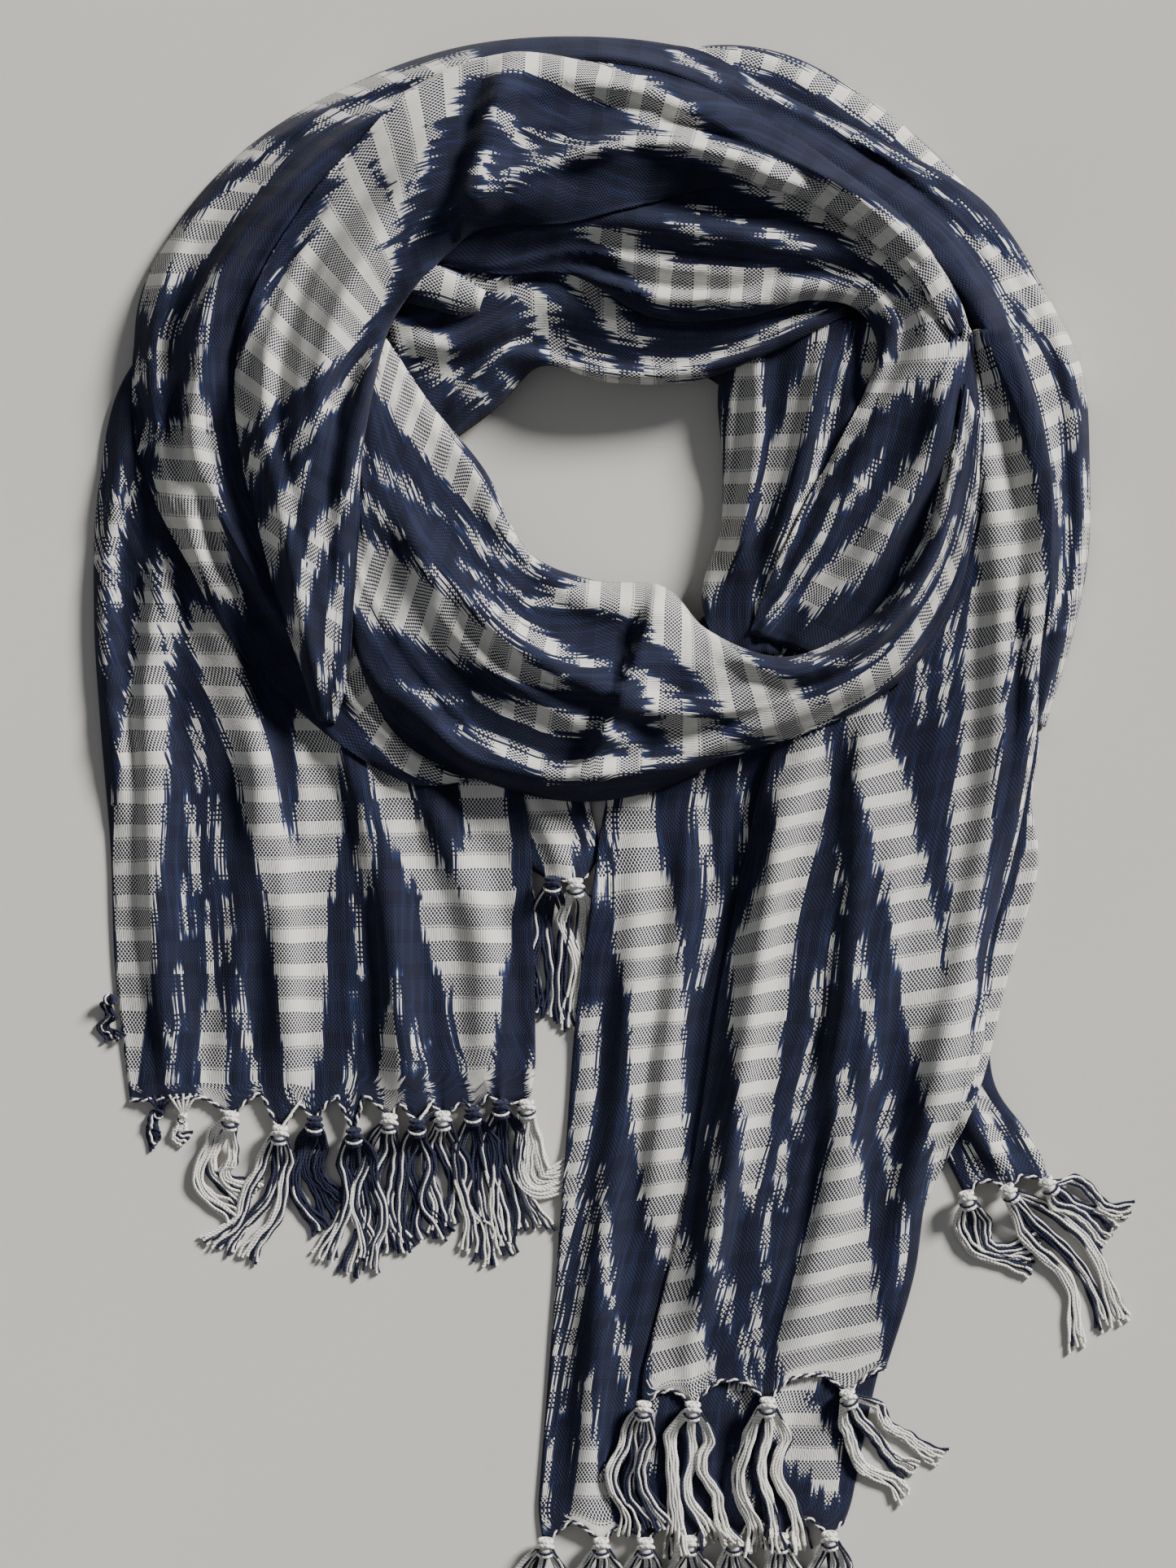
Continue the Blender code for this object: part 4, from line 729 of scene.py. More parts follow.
SOFT_FOLDS = {  # folds too soft for the plain solid
    "left_roll": (
        Fold(4.5, 9, 0.2, ((-66, 278), (-40, 292), (-10, 302), (20, 306), (50, 298), (75, 287))),
        Fold(3.0, 8, 0, ((-95, 268), (-112, 240), (-122, 205), (-124, 170))),
        Fold(2.5, 7, 0, ((-80, 250), (-100, 215), (-108, 180), (-112, 150))),
    ),
    "outer_loop": (
        Fold(3.5, 8, 0, ((-150, 250), (-172, 215), (-180, 175), (-176, 130))),
        Fold(3.0, 7, 0, ((-120, 300), (-150, 275), (-178, 235), (-192, 190))),
        Fold(3.5, 8, 0, ((60, 318), (100, 300), (140, 268), (168, 225))),
        Fold(3.0, 7, 0, ((150, 240), (172, 200), (184, 150), (186, 100))),
    ),
    "front_swag": (
        Fold(3.0, 9, 0, ((-70, 120), (-40, 92), (0, 72), (40, 66), (80, 80))),
        Fold(2.5, 8, 0, ((-90, 150), (-70, 105), (-35, 72), (10, 50))),
    ),
    "right_over": (
        Fold(2.5, 10, 0, ((70, 40), (66, -20), (60, -80), (48, -140), (40, -190))),
        Fold(2.5, 10, 0, ((120, 30), (118, -30), (108, -90), (98, -150))),
    ),
    "left_tail": (
        Fold(2.2, 11, 0, ((-150, 60), (-154, 10), (-160, -40), (-164, -85))),
        Fold(2.2, 12, 0, ((-90, 40), (-92, -10), (-90, -60), (-92, -95))),
    ),
}

REACH_X, REACH_Y = 250, 380  # half sides of the height map
FINER = 4  # steps between two points of a layer when its height is mapped
LEAST_BEARING = 0.01  # the least share of a layer that lies on what carries it
TASSEL_SEED = 100  # added to a tassel's number, so that its random numbers are its own
DYE_REACH = 12.0  # how far from its edge the dye field is told apart


def splined(rows: tuple, count: int, closed: bool = False) -> np.ndarray:
    """Space rows evenly along a smooth curve through them.

    Args:
        rows: The rows to pass through; the first four numbers place a section, the first two a point.
        count: How many rows to give.
        closed: Whether the curve comes back to its start.

    Returns:
        The rows as an array.
    """
    rows = np.asarray(rows, float)
    around = len(rows)
    if closed:
        rows = np.vstack([rows[-2:], rows, rows[:3]])
    places = rows[:, :4] if rows.shape[1] >= 4 else rows[:, :2]
    gaps = np.maximum(np.linalg.norm(np.diff(places, axis=0), axis=1), 1e-6)
    knots = np.concatenate([[0.0], np.cumsum(gaps)])
    slopes = np.diff(rows, axis=0) / gaps[:, None]
    before, after = gaps[:-1, None], gaps[1:, None]
    inner = (slopes[:-1] * after + slopes[1:] * before) / (before + after)
    tangents = np.vstack([slopes[:1], inner, slopes[-1:]])
    if closed:
        wanted = np.linspace(knots[2], knots[2 + around], count, endpoint=False)
    else:
        wanted = np.linspace(knots[0], knots[-1], count)
    left = np.clip(np.searchsorted(knots, wanted, side="right") - 1, 0, len(gaps) - 1)
    gap = gaps[left][:, None]
    u = (wanted - knots[left])[:, None] / gap
    return (
        (2 * u**3 - 3 * u**2 + 1) * rows[left]
        + (u**3 - 2 * u**2 + u) * gap * tangents[left]
        + (3 * u**2 - 2 * u**3) * rows[left + 1]
        + (u**3 - u**2) * gap * tangents[left + 1]
    )


def distances(xy: np.ndarray, path: np.ndarray) -> tuple:
    """Find where each place is nearest to a path.

    Args:
        xy: Places, in an array of any shape with x and y last.
        path: The path's places in order.

    Returns:
        The distance, the side that the place is on, and how far along the path it is in segments.
    """
    nearest = np.full(xy.shape[:-1], np.inf)
    side, along = np.zeros_like(nearest), np.zeros_like(nearest)
    for n, (start, end) in enumerate(zip(path[:-1], path[1:])):
        step = end - start
        share = np.clip(((xy - start) @ step) / max(step @ step, 1e-9), 0, 1)
        away = xy - start - share[..., None] * step
        distance = np.linalg.norm(away, axis=-1)
        closer = distance < nearest
        nearest = np.where(closer, distance, nearest)
        side = np.where(closer, np.sign(step[0] * away[..., 1] - step[1] * away[..., 0]), side)
        along = np.where(closer, n + share, along)
    return nearest, side, along


def ridge(fold: Fold, xy: np.ndarray) -> np.ndarray:
    """Shape one fold.

    Args:
        fold: The fold.
        xy: Places, with x and y last.

    Returns:
        How high the fold stands at each place.
    """
    path = splined(fold.path, 6 * len(fold.path))
    nearest, side, along = distances(xy, path)
    along = along / (len(path) - 1)
    width = fold.width * (1 + side * fold.lean)
    shape = 0.5 + 0.5 * np.cos(np.pi * np.clip(nearest / width, 0, 1))
    fade = np.clip(np.minimum(along, 1 - along) / 0.12, 0, 1)
    return fold.height * shape * (0.35 + 0.65 * fade)


def smooth_noise(x: np.ndarray, y: np.ndarray, seed: int) -> np.ndarray:
    """Give smooth random heights that repeat the same way in each run.

    Args:
        x: Places along, in cells of the noise.
        y: Places across, in cells of the noise.
        seed: Which pattern to give.

    Returns:
        Heights between -1 and 1.
    """
    values = np.random.default_rng(seed).uniform(-1, 1, (64, 64))
    i, j = np.floor(x).astype(int), np.floor(y).astype(int)
    u, v = x - i, y - j
    u, v = u * u * (3 - 2 * u), v * v * (3 - 2 * v)
    low = values[i % 64, j % 64] * (1 - u) + values[(i + 1) % 64, j % 64] * u
    high = values[i % 64, (j + 1) % 64] * (1 - u) + values[(i + 1) % 64, (j + 1) % 64] * u
    return low * (1 - v) + high * v


class Tabletop:
    """The table and how high everything laid on it so far stands, on a grid of one millimetre."""

    def __init__(self) -> None:
        """Start with a bare table."""
        self.top = np.zeros((2 * REACH_X + 1, 2 * REACH_Y + 1))
        self.bed = self.top
        self.layers: list = []
        self.seen = np.full(self.top.shape, -1)

    def sampled(self, grid: np.ndarray, xy: np.ndarray) -> np.ndarray:
        """Read a grid between its places.

        Args:
            grid: Heights on the table's grid.
            xy: Places, with x and y last.

        Returns:
            The height at each place.
        """
        x = np.clip(xy[..., 0] + REACH_X, 0, grid.shape[0] - 1.001)
        y = np.clip(xy[..., 1] + REACH_Y, 0, grid.shape[1] - 1.001)
        i, j = x.astype(int), y.astype(int)
        u, v = x - i, y - j
        low = grid[i, j] * (1 - u) + grid[i + 1, j] * u
        high = grid[i, j + 1] * (1 - u) + grid[i + 1, j + 1] * u
        return low * (1 - v) + high * v

    def refresh(self, cells: int = 2) -> None:
        """Work out the surface that the next layer lies on.

        Args:
            cells: How far round a place a high point still carries the cloth.
        """
        wide = self.top.copy()
        for axis in (0, 1):
            grown = wide.copy()
            for shift in range(-cells, cells + 1):
                grown = np.maximum(grown, np.roll(wide, shift, axis=axis))
            wide = grown
        self.bed = wide

    def under(self, xy: np.ndarray) -> np.ndarray:
        """The height that a layer's underside must clear at each place."""
        return self.sampled(self.bed, xy) + CLEAR

    def squares(self, xy: np.ndarray) -> tuple:
        """Find the grid's square at each place.

        Args:
            xy: Places, with x and y first along the last axis.

        Returns:
            The squares' numbers along x and along y.
        """
        i = np.clip(np.rint(xy[..., 0] + REACH_X).astype(int), 0, self.top.shape[0] - 1)
        j = np.clip(np.rint(xy[..., 1] + REACH_Y).astype(int), 0, self.top.shape[1] - 1)
        return i, j

    def bearers(self, xy: np.ndarray) -> list:
        """Name the layers that a new one lies on.

        Args:
            xy: The new layer's places.

        Returns:
            The names of those that lie under more than a hundredth of it.
        """
        below = self.seen[self.squares(xy)]
        return [name for n, name in enumerate(self.layers) if (below == n).mean() > LEAST_BEARING]

    def pile(self, points: np.ndarray, thickness: float = 0.0) -> None:
        """Raise the surface to a set of points.

        Args:
            points: The points.
            thickness: How far what is laid reaches above them.
        """
        np.maximum.at(self.top, self.squares(points), points[..., 2] + thickness)

    def lay(self, name: str, points: np.ndarray) -> None:
        """Add a finished layer.

        Args:
            name: Its name.
            points: Its upper side as a grid of points, in rows and columns.
        """
        fine = points
        for axis in (0, 1):
            fine = np.moveaxis(fine, axis, 0)
            shares = np.arange(FINER) / FINER
            parts = [fine[:-1] * (1 - share) + fine[1:] * share for share in shares]
            woven = np.stack(parts, axis=1).reshape((-1,) + fine.shape[1:])
            fine = np.moveaxis(np.concatenate([woven, fine[-1:]]), 0, axis)
        self.pile(fine)
        self.seen[self.squares(fine)] = len(self.layers)
        self.layers.append(name)


def grid_faces(rows: int, columns: int, wrap: bool = False) -> np.ndarray:
    """List the quads of a grid of points.

    Args:
        rows: Rows of points.
        columns: Points in a row.
        wrap: Whether the last row joins the first.

    Returns:
        Four point numbers a face, which look up where rows run up and columns run right.
    """
    index = np.arange(rows * columns).reshape(rows, columns)
    after = np.roll(index, -1, axis=0) if wrap else index[1:]
    index = index if wrap else index[:-1]
    return np.stack([index[:, :-1], index[:, 1:], after[:, 1:], after[:, :-1]], axis=-1).reshape(-1, 4)


def grid_normals(points: np.ndarray) -> np.ndarray:
    """Find which way the cloth faces.

    Args:
        points: A grid of points, in rows and columns.

    Returns:
        The upward unit normal at each point.
    """
    along = np.gradient(points, axis=0)
    across = np.gradient(points, axis=1)
    normals = np.cross(across, along)
    normals /= np.maximum(np.linalg.norm(normals, axis=-1, keepdims=True), 1e-9)
    return normals * np.where(normals[..., 2:] < 0, -1.0, 1.0)


def undyed_and_highlit(charts: tuple, xy: np.ndarray) -> np.ndarray:
    """Read the dye charts, and the painted highlights that the swag's chart holds.

    Args:
        charts: The charts that cover a stretch.
        xy: Places on it, in millimetres.

    Returns:
        Millimetres inside the white, or outside it where negative.
    """
    inside_white = np.full(xy.shape[:-1], -DYE_REACH)
    for chart in charts:
        for strokes, sign in ((chart.white, 1.0), (chart.navy, -1.0)):
            for stroke in strokes:
                rows = np.asarray(stroke, float) * chart.square
                path = np.stack([chart.corner_x + rows[:, 0], chart.corner_y - rows[:, 1]], axis=-1)
                away, _, along = distances(xy, path)
                n = np.minimum(along.astype(int), len(rows) - 2)
                width = rows[n, 2] + (rows[n + 1, 2] - rows[n, 2]) * (along - n)
                inside = width - away
                if sign > 0:
                    inside_white = np.maximum(inside_white, inside)
                else:
                    inside_white = np.minimum(inside_white, -inside)
    return np.clip(inside_white, -DYE_REACH, DYE_REACH)


def new_object(name: str, points: np.ndarray, faces: np.ndarray, smooth: np.ndarray) -> bpy.types.Object:
    """Make a mesh object at the origin.

    Args:
        name: The object's name.
        points: Its points in millimetres.
        faces: Four or three point numbers a face.
        smooth: Whether each face is shaded smooth.

    Returns:
        The object, linked to the scene.
    """
    mesh = bpy.data.meshes.new(name)
    mesh.from_pydata((points * MM).tolist(), [], faces.tolist())
    mesh.polygons.foreach_set("use_smooth", smooth)
    mesh.validate()
    obj = bpy.data.objects.new(name, mesh)
    bpy.context.scene.collection.objects.link(obj)
    return obj


def set_attribute(mesh: bpy.types.Mesh, name: str, values: np.ndarray) -> None:
    """Store one number a point on a mesh."""
    attribute = mesh.attributes.new(name, "FLOAT", "POINT")
    attribute.data.foreach_set("value", values.astype(np.float32).ravel())


def set_warp_map(mesh: bpy.types.Mesh, along: np.ndarray, across: np.ndarray) -> None:
    """Store where each point lies in the weave.

    Args:
        mesh: The mesh.
        along: The length along the warp at each point, in millimetres.
        across: The length across it.
    """
    warp = np.stack([along, across], axis=-1).reshape(-1, 2)
    layer = mesh.uv_layers.new(name="warp")
    corners = np.empty(len(mesh.loops), np.int32)
    mesh.loops.foreach_get("vertex_index", corners)
    layer.data.foreach_set("uv", warp[corners].astype(np.float32).ravel())


@dataclass
class ClothStretch:
    """One stretch of the scarf, laid on a fine mesh and dyed from its charts."""

    stretch: Stretch
    table: Tabletop
    fringes: tuple
    seed: int
    wrinkle: float = 0.8  # height of the small creases
    hem_row: np.ndarray = field(init=False, repr=False)
    flat: tuple = field(init=False)
    area: float = field(init=False)
    rests_on: list = field(init=False)

    def lines(self) -> tuple:
        """Space the cloth's points along and across.

        Returns:
            The sections, the share across of each point, and the lengths from the start and across.
        """
        rough = splined(self.stretch.sections, 400)
        middle = (rough[:, 0:2] + rough[:, 2:4]) / 2
        length = np.linalg.norm(np.diff(middle, axis=0), axis=1).sum()
        rows = max(12, round(length / CELL) + 1)
        lines = splined(self.stretch.sections, rows)
        widths = np.linalg.norm(lines[:, 2:4] - lines[:, 0:2], axis=1)
        edge = np.array(EDGE_STEPS)
        inner = max(3, round((widths.max() - 2 * edge[-1]) / CELL) - 1)
        shares = []
        for width in widths:
            near = edge / width * min(1.0, width / 16.0)
            middle_share = np.linspace(near[-1], 1 - near[-1], inner + 2)[1:-1]
            shares.append(np.concatenate([near, middle_share, 1 - near[::-1]]))
        middle = (lines[:, 0:2] + lines[:, 2:4]) / 2
        run = np.concatenate([[0.0], np.cumsum(np.linalg.norm(np.diff(middle, axis=0), axis=1))])
        return lines, np.array(shares), run, widths

    def creases(self, run: np.ndarray, across: np.ndarray) -> np.ndarray:
        """Crease the cloth as soft cotton does, longer along it than across it.

        Args:
            run: The length along at each row.
            across: The length across at each point.

        Returns:
            The height of the creases at each point.
        """
        u = np.broadcast_to(run[:, None], across.shape)
        low = smooth_noise(u / 46.0, across / 17.0, self.seed)
        fine = smooth_noise(u / 19.0 + 7.3, across / 8.0 + 3.1, self.seed + 50)
        wander = 7.0 * smooth_noise(u / 60.0 + 1.7, across / 40.0, self.seed + 90)
        long_folds = smooth_noise(u / 130.0 + 0.4, (across + wander) / 13.0, self.seed + 20)
        gathered = GATHERS.get(self.stretch.name, GATHER)
        return self.wrinkle * (low + 0.4 * fine) + gathered * (0.9 - 2.2 * np.abs(long_folds))

    def scallop(self, xy: np.ndarray, run: np.ndarray) -> np.ndarray:
        """Draw the hem back between its knots.

        Args:
            xy: The places of the cloth's points.
            run: The length along at each row.

        Returns:
            The new places.
        """
        own = [fringe for fringe in self.fringes if fringe.hem == self.stretch.name and fringe.size == 1.0]
        if self.stretch.name not in FRINGED or not own:
            return xy
        hem = xy[-1]
        outward = xy[-1] - xy[-3]
        outward = outward / np.linalg.norm(outward, axis=-1, keepdims=True)
        knots = np.array([(fringe.knot_x, fringe.knot_y) for fringe in own])
        near = np.linalg.norm(hem[:, None] - knots[None], axis=-1).min(axis=1)
        depth = HEM_DEPTH * np.clip((near - 4.0) / 9.0, 0, 1)
        left = np.clip(1 - (run[-1] - run) / HEM_REACH, 0, 1) ** 2
        xy = xy - outward[None] * depth[None, :, None] * left[:, None, None]
        away = knots[None] - xy[-1][:, None]
        far = np.linalg.norm(away, axis=-1)
        owner = far.argmin(axis=1)
        column = np.arange(len(owner))
        beyond = far[column, owner] - far.min(axis=0)[owner]
        tight = 0.75 + 0.15 * np.clip(far.min(axis=0)[owner] / 16.0, 0, 1)
        pull = tight * np.exp(-((beyond / 4.5) ** 2)) * (far.min(axis=0)[owner] < 26.0)
        xy = xy + away[column, owner][None] * pull[None, :, None] * left[:, None, None]
        return xy

    def upper_side(self) -> tuple:
        """Lay the cloth over what is on the table.

        Returns:
            The upper side's grid of points and the length along at each row.
        """
        lines, share, run, widths = self.lines()
        s = share[..., None]
        xy = lines[:, None, 0:2] * (1 - s) + lines[:, None, 2:4] * s
        xy = self.scallop(xy, run)
        across = (share - 0.5) * widths[:, None]
        bulge = (4 * share * (1 - share)) ** self.stretch.fullness
        top = lines[:, 4:5] * (1 - share) + lines[:, 5:6] * share + lines[:, 6:7] * bulge
        need = np.maximum(self.table.under(xy) + CLOTH - top, 0)
        excess = need.copy()
        for _ in range(SETTLE_ROUNDS):
            padded = np.pad(excess, 1, mode="edge")
            near = padded[2:, 1:-1] + padded[:-2, 1:-1] + padded[1:-1, 2:] + padded[1:-1, :-2]
            excess = np.maximum(need, 0.25 * near)
        top = top + excess
        for fold in self.stretch.folds + SOFT_FOLDS.get(self.stretch.name, ()):
            top = top + FOLD_LIFT * ridge(fold, xy)
        inward = np.minimum(share, 1 - share) * widths[:, None]
        top = top + self.creases(run, across) * np.clip(inward / 6.0, 0.15, 1)
        roll = EDGE_ROLL if HELD.get(self.stretch.name) is None else FOLD_ROLL
        rounded = np.clip(1 - inward / roll, 0, 1)
        top = top - roll * (1 - np.sqrt(1 - rounded**2 * 0.95))
        top = np.maximum(top, self.table.under(xy) + CLOTH)
        return np.concatenate([xy, top[..., None]], axis=-1), run

    def sheet(self, over: np.ndarray) -> bpy.types.Object:
        """Close the upper side into a sheet with a thickness.

        Args:
            over: The upper side's grid of points.

        Returns:
            The object, named after its stretch.
        """
        rows, columns = over.shape[:2]
        under = over - grid_normals(over) * CLOTH
        under[..., 2] = np.maximum(under[..., 2], 0.02)
        upper = grid_faces(rows, columns)
        index = np.arange(rows * columns).reshape(rows, columns)
        rim = np.concatenate([index[0, :-1], index[:-1, -1], index[-1, :0:-1], index[:0:-1, 0]])
        if np.cross(over[0, 1] - over[0, 0], over[1, 0] - over[0, 0])[2] < 0:
            upper = upper[:, ::-1]
        else:
            rim = rim[::-1]
        after = np.roll(rim, -1)
        count = rows * columns
        walls = np.stack([rim, after, after + count, rim + count], axis=-1)
        faces = np.vstack([upper, upper[:, ::-1] + count, walls])
        smooth = np.ones(len(faces), bool)
        smooth[len(upper) * 2:] = False
        points = np.vstack([over.reshape(-1, 3), under.reshape(-1, 3)])
        return new_object(f"{self.stretch.name}_cloth", points, faces, smooth)

    def weave(self, mesh: bpy.types.Mesh, over: np.ndarray, run: np.ndarray) -> None:
        """Dye the sheet and map its warp.

        Args:
            mesh: The sheet's mesh, whose lower side repeats the points of its upper side.
            over: The upper side's grid of points.
            run: The length along at each row.
        """
        # The charts give the dye, and on the front swag also its painted highlights.
        dye = undyed_and_highlit(DYE_AND_HIGHLIGHT_CHARTS[self.stretch.name], over[..., :2])
        slide_table = WARP_SLIDE.get(self.stretch.name, (0, 0))
        slide = np.interp(run, np.linspace(0, run[-1], len(slide_table)), slide_table)
        steps = np.linalg.norm(np.gradient(over, axis=0), axis=-1)
        breadth = np.linalg.norm(np.gradient(over, axis=1), axis=-1)
        lean = np.gradient(slide, run)[:, None]
        dye_run = np.gradient(dye, axis=0) / np.maximum(steps, LEAST_STEP)
        dye_run = dye_run - lean * np.gradient(dye, axis=1) / np.maximum(breadth, LEAST_STEP)
        set_attribute(mesh, "dye", np.stack([dye, dye]))
        set_attribute(mesh, "dye_run", np.stack([dye_run, dye_run]))
        length = self.lengths_across(over)
        v = length - length[:, over.shape[1] // 2][:, None] + slide[:, None]
        u = run[:, None] + WEFT_SLANT.get(self.stretch.name, 0.0) * v
        set_warp_map(mesh, np.stack([u, u]), np.stack([v, v]))

    def lengths_across(self, over: np.ndarray) -> np.ndarray:
        """Measure each row of points from its left edge, over the folds."""
        length = np.cumsum(np.linalg.norm(np.diff(over, axis=1), axis=-1), axis=1)
        return np.concatenate([np.zeros((len(over), 1)), length], axis=1)

    def measure(self, over: np.ndarray) -> None:
        """Work out the flat size and the area, in metres.

        Args:
            over: The upper side's grid of points.
        """
        steps = np.linalg.norm(np.gradient(over, axis=0), axis=-1)
        wide = float(np.quantile(self.lengths_across(over)[:, -1], 0.9))  # leaves out the puckered hem
        self.flat = (wide * MM, float(steps.mean(axis=1).sum()) * MM)
        one, other = over[1:, 1:] - over[:-1, :-1], over[1:, :-1] - over[:-1, 1:]
        self.area = float(np.linalg.norm(np.cross(one, other), axis=-1).sum()) / 2 * MM**2
        self.area = min(self.area, self.flat[0] * self.flat[1])

    def build(self) -> bpy.types.Object:
        """Make the sheet with its dye and its warp map, and lay it on the table.

        Returns:
            The object, named after its stretch.
        """
        over, run = self.upper_side()
        obj = self.sheet(over)
        self.weave(obj.data, over, run)
        self.measure(over)
        self.hem_row = over[-1]
        self.rests_on = self.table.bearers(over)
        self.table.lay(self.stretch.name, over)
        return obj


@dataclass(frozen=True)
class Heap:
    """The hidden layers under the ring, as one rounded heap of the same cloth."""

    sections: tuple
    profile: tuple
    around: int = 240  # points round the ring
    across: int = 64  # points over the heap
    warp_length: float = 1500.0  # of the cloth round the ring

    def build(self, table: Tabletop) -> bpy.types.Object:
        """Make the heap and lay it on the table.

        Args:
            table: The table, on which it is the first thing.

        Returns:
            The heap's object.
        """
        sections = splined(self.sections, self.around, closed=True)
        profile = splined(self.profile, self.across)
        share = profile[None, :, 0:1]
        xy = sections[:, None, 0:2] * (1 - share) + sections[:, None, 2:4] * share
        z = np.maximum(sections[:, None, 4:5] * profile[None, :, 1:2], 0.0)
        points = np.concatenate([xy, z], axis=-1)
        upper = grid_faces(self.around, self.across, wrap=True)
        inner = np.arange(self.around) * self.across
        outer = inner + self.across - 1
        floor = np.stack([inner, np.roll(inner, -1), np.roll(outer, -1), outer], axis=-1)
        faces = np.vstack([upper, floor])[:, ::-1]
        obj = new_object("hidden_layers_cloth", points.reshape(-1, 3), faces, np.ones(len(faces), bool))
        run = np.linspace(0, self.warp_length, self.around)[:, None] * np.ones((1, self.across))
        step = np.linalg.norm(np.diff(points, axis=1), axis=-1)
        v = np.concatenate([np.zeros((self.around, 1)), np.cumsum(step, axis=1)], axis=1)
        dye = 5.0 * smooth_noise(run / 70.0, v / 13.0, 5) - 1.0
        set_attribute(obj.data, "dye", dye)
        set_attribute(obj.data, "dye_run", np.full(dye.size, 0.2))
        set_warp_map(obj.data, run, v)
        table.lay("hidden_layers", np.concatenate([points, points[:1]]))
        return obj


class NodeSheet:
    """A short hand for wiring shader nodes."""

    def __init__(self, tree: bpy.types.NodeTree) -> None:
        """Start on an empty tree."""
        self.tree = tree
        tree.nodes.clear()

    def add(self, kind: str, **settings: object) -> bpy.types.Node:
        """Add a node and set its properties.

        Args:
            kind: The node's type.
            **settings: Its properties.

        Returns:
            The node.
        """
        node = self.tree.nodes.new(kind)
        for name, value in settings.items():
            setattr(node, name, value)
        return node

    def plug(self, value: object, socket: bpy.types.NodeSocket) -> None:
        """Link an output to a socket, or set the socket to a number.

        Args:
            value: The output or the number.
            socket: The socket that takes it.
        """
        if isinstance(value, bpy.types.NodeSocket):
            self.tree.links.new(value, socket)
        else:
            socket.default_value = value

    def math(self, operation: str, a: object, b: object = 0.0, c: object = 0.0) -> bpy.types.NodeSocket:
        """Work out a number from up to three others.

        Args:
            operation: What is done with them.
            a: The first number.
            b: The second.
            c: The third.

        Returns:
            The result's socket.
        """
        node = self.add("ShaderNodeMath", operation=operation)
        for value, socket in zip((a, b, c), node.inputs):
            self.plug(value, socket)
        return node.outputs[0]

    def span(self, value: object, low: object, high: object) -> bpy.types.NodeSocket:
        """Map a number to 0 at low and 1 at high, smoothly.

        Args:
            value: The number.
            low: Where the result is 0.
            high: Where it is 1.

        Returns:
            The result's socket.
        """
        node = self.add("ShaderNodeMapRange", interpolation_type="SMOOTHSTEP")
        for number, name in ((value, "Value"), (low, "From Min"), (high, "From Max")):
            self.plug(number, node.inputs[name])
        return node.outputs[0]

    def mixed(self, share: object, a: object, b: object) -> bpy.types.NodeSocket:
        """Blend two colours.

        Args:
            share: How much of the second shows.
            a: The first colour.
            b: The second.

        Returns:
            The blend's socket.
        """
        node = self.add("ShaderNodeMix", data_type="RGBA")
        self.plug(share, node.inputs[0])
        self.plug(a, node.inputs[6])
        self.plug(b, node.inputs[7])
        return node.outputs[2]

    def noise(self, x: object, y: object, detail: float = 2.0) -> bpy.types.NodeSocket:
        """Give smooth noise over two coordinates.

        Args:
            x: The first coordinate.
            y: The second.
            detail: How many finer layers it has.

        Returns:
            The noise's socket, between 0 and 1.
        """
        joined = self.add("ShaderNodeCombineXYZ")
        self.plug(x, joined.inputs[0])
        self.plug(y, joined.inputs[1])
        node = self.add("ShaderNodeTexNoise", noise_dimensions="2D")
        self.plug(joined.outputs[0], node.inputs["Vector"])
        node.inputs["Scale"].default_value = 1.0
        node.inputs["Detail"].default_value = detail
        return node.outputs[0]

    def chance(self, number: object) -> bpy.types.NodeSocket:
        """Draw a random number between 0 and 1.

        Args:
            number: What it is drawn for.

        Returns:
            The drawn number's socket.
        """
        node = self.add("ShaderNodeTexWhiteNoise", noise_dimensions="1D")
        self.plug(number, node.inputs["W"])
        return node.outputs["Value"]


def plain(colour: tuple) -> tuple:
    """Turn a colour's screen values into the four numbers that a socket takes.

    Args:
        colour: Red, green and blue from 0 to 255.

    Returns:
        Its linear red, green and blue, and 1 for opaque.
    """
    linear = [(c / 255 / 12.92) if c <= 10 else ((c / 255 + 0.055) / 1.055) ** 2.4 for c in colour]
    return (*linear, 1.0)


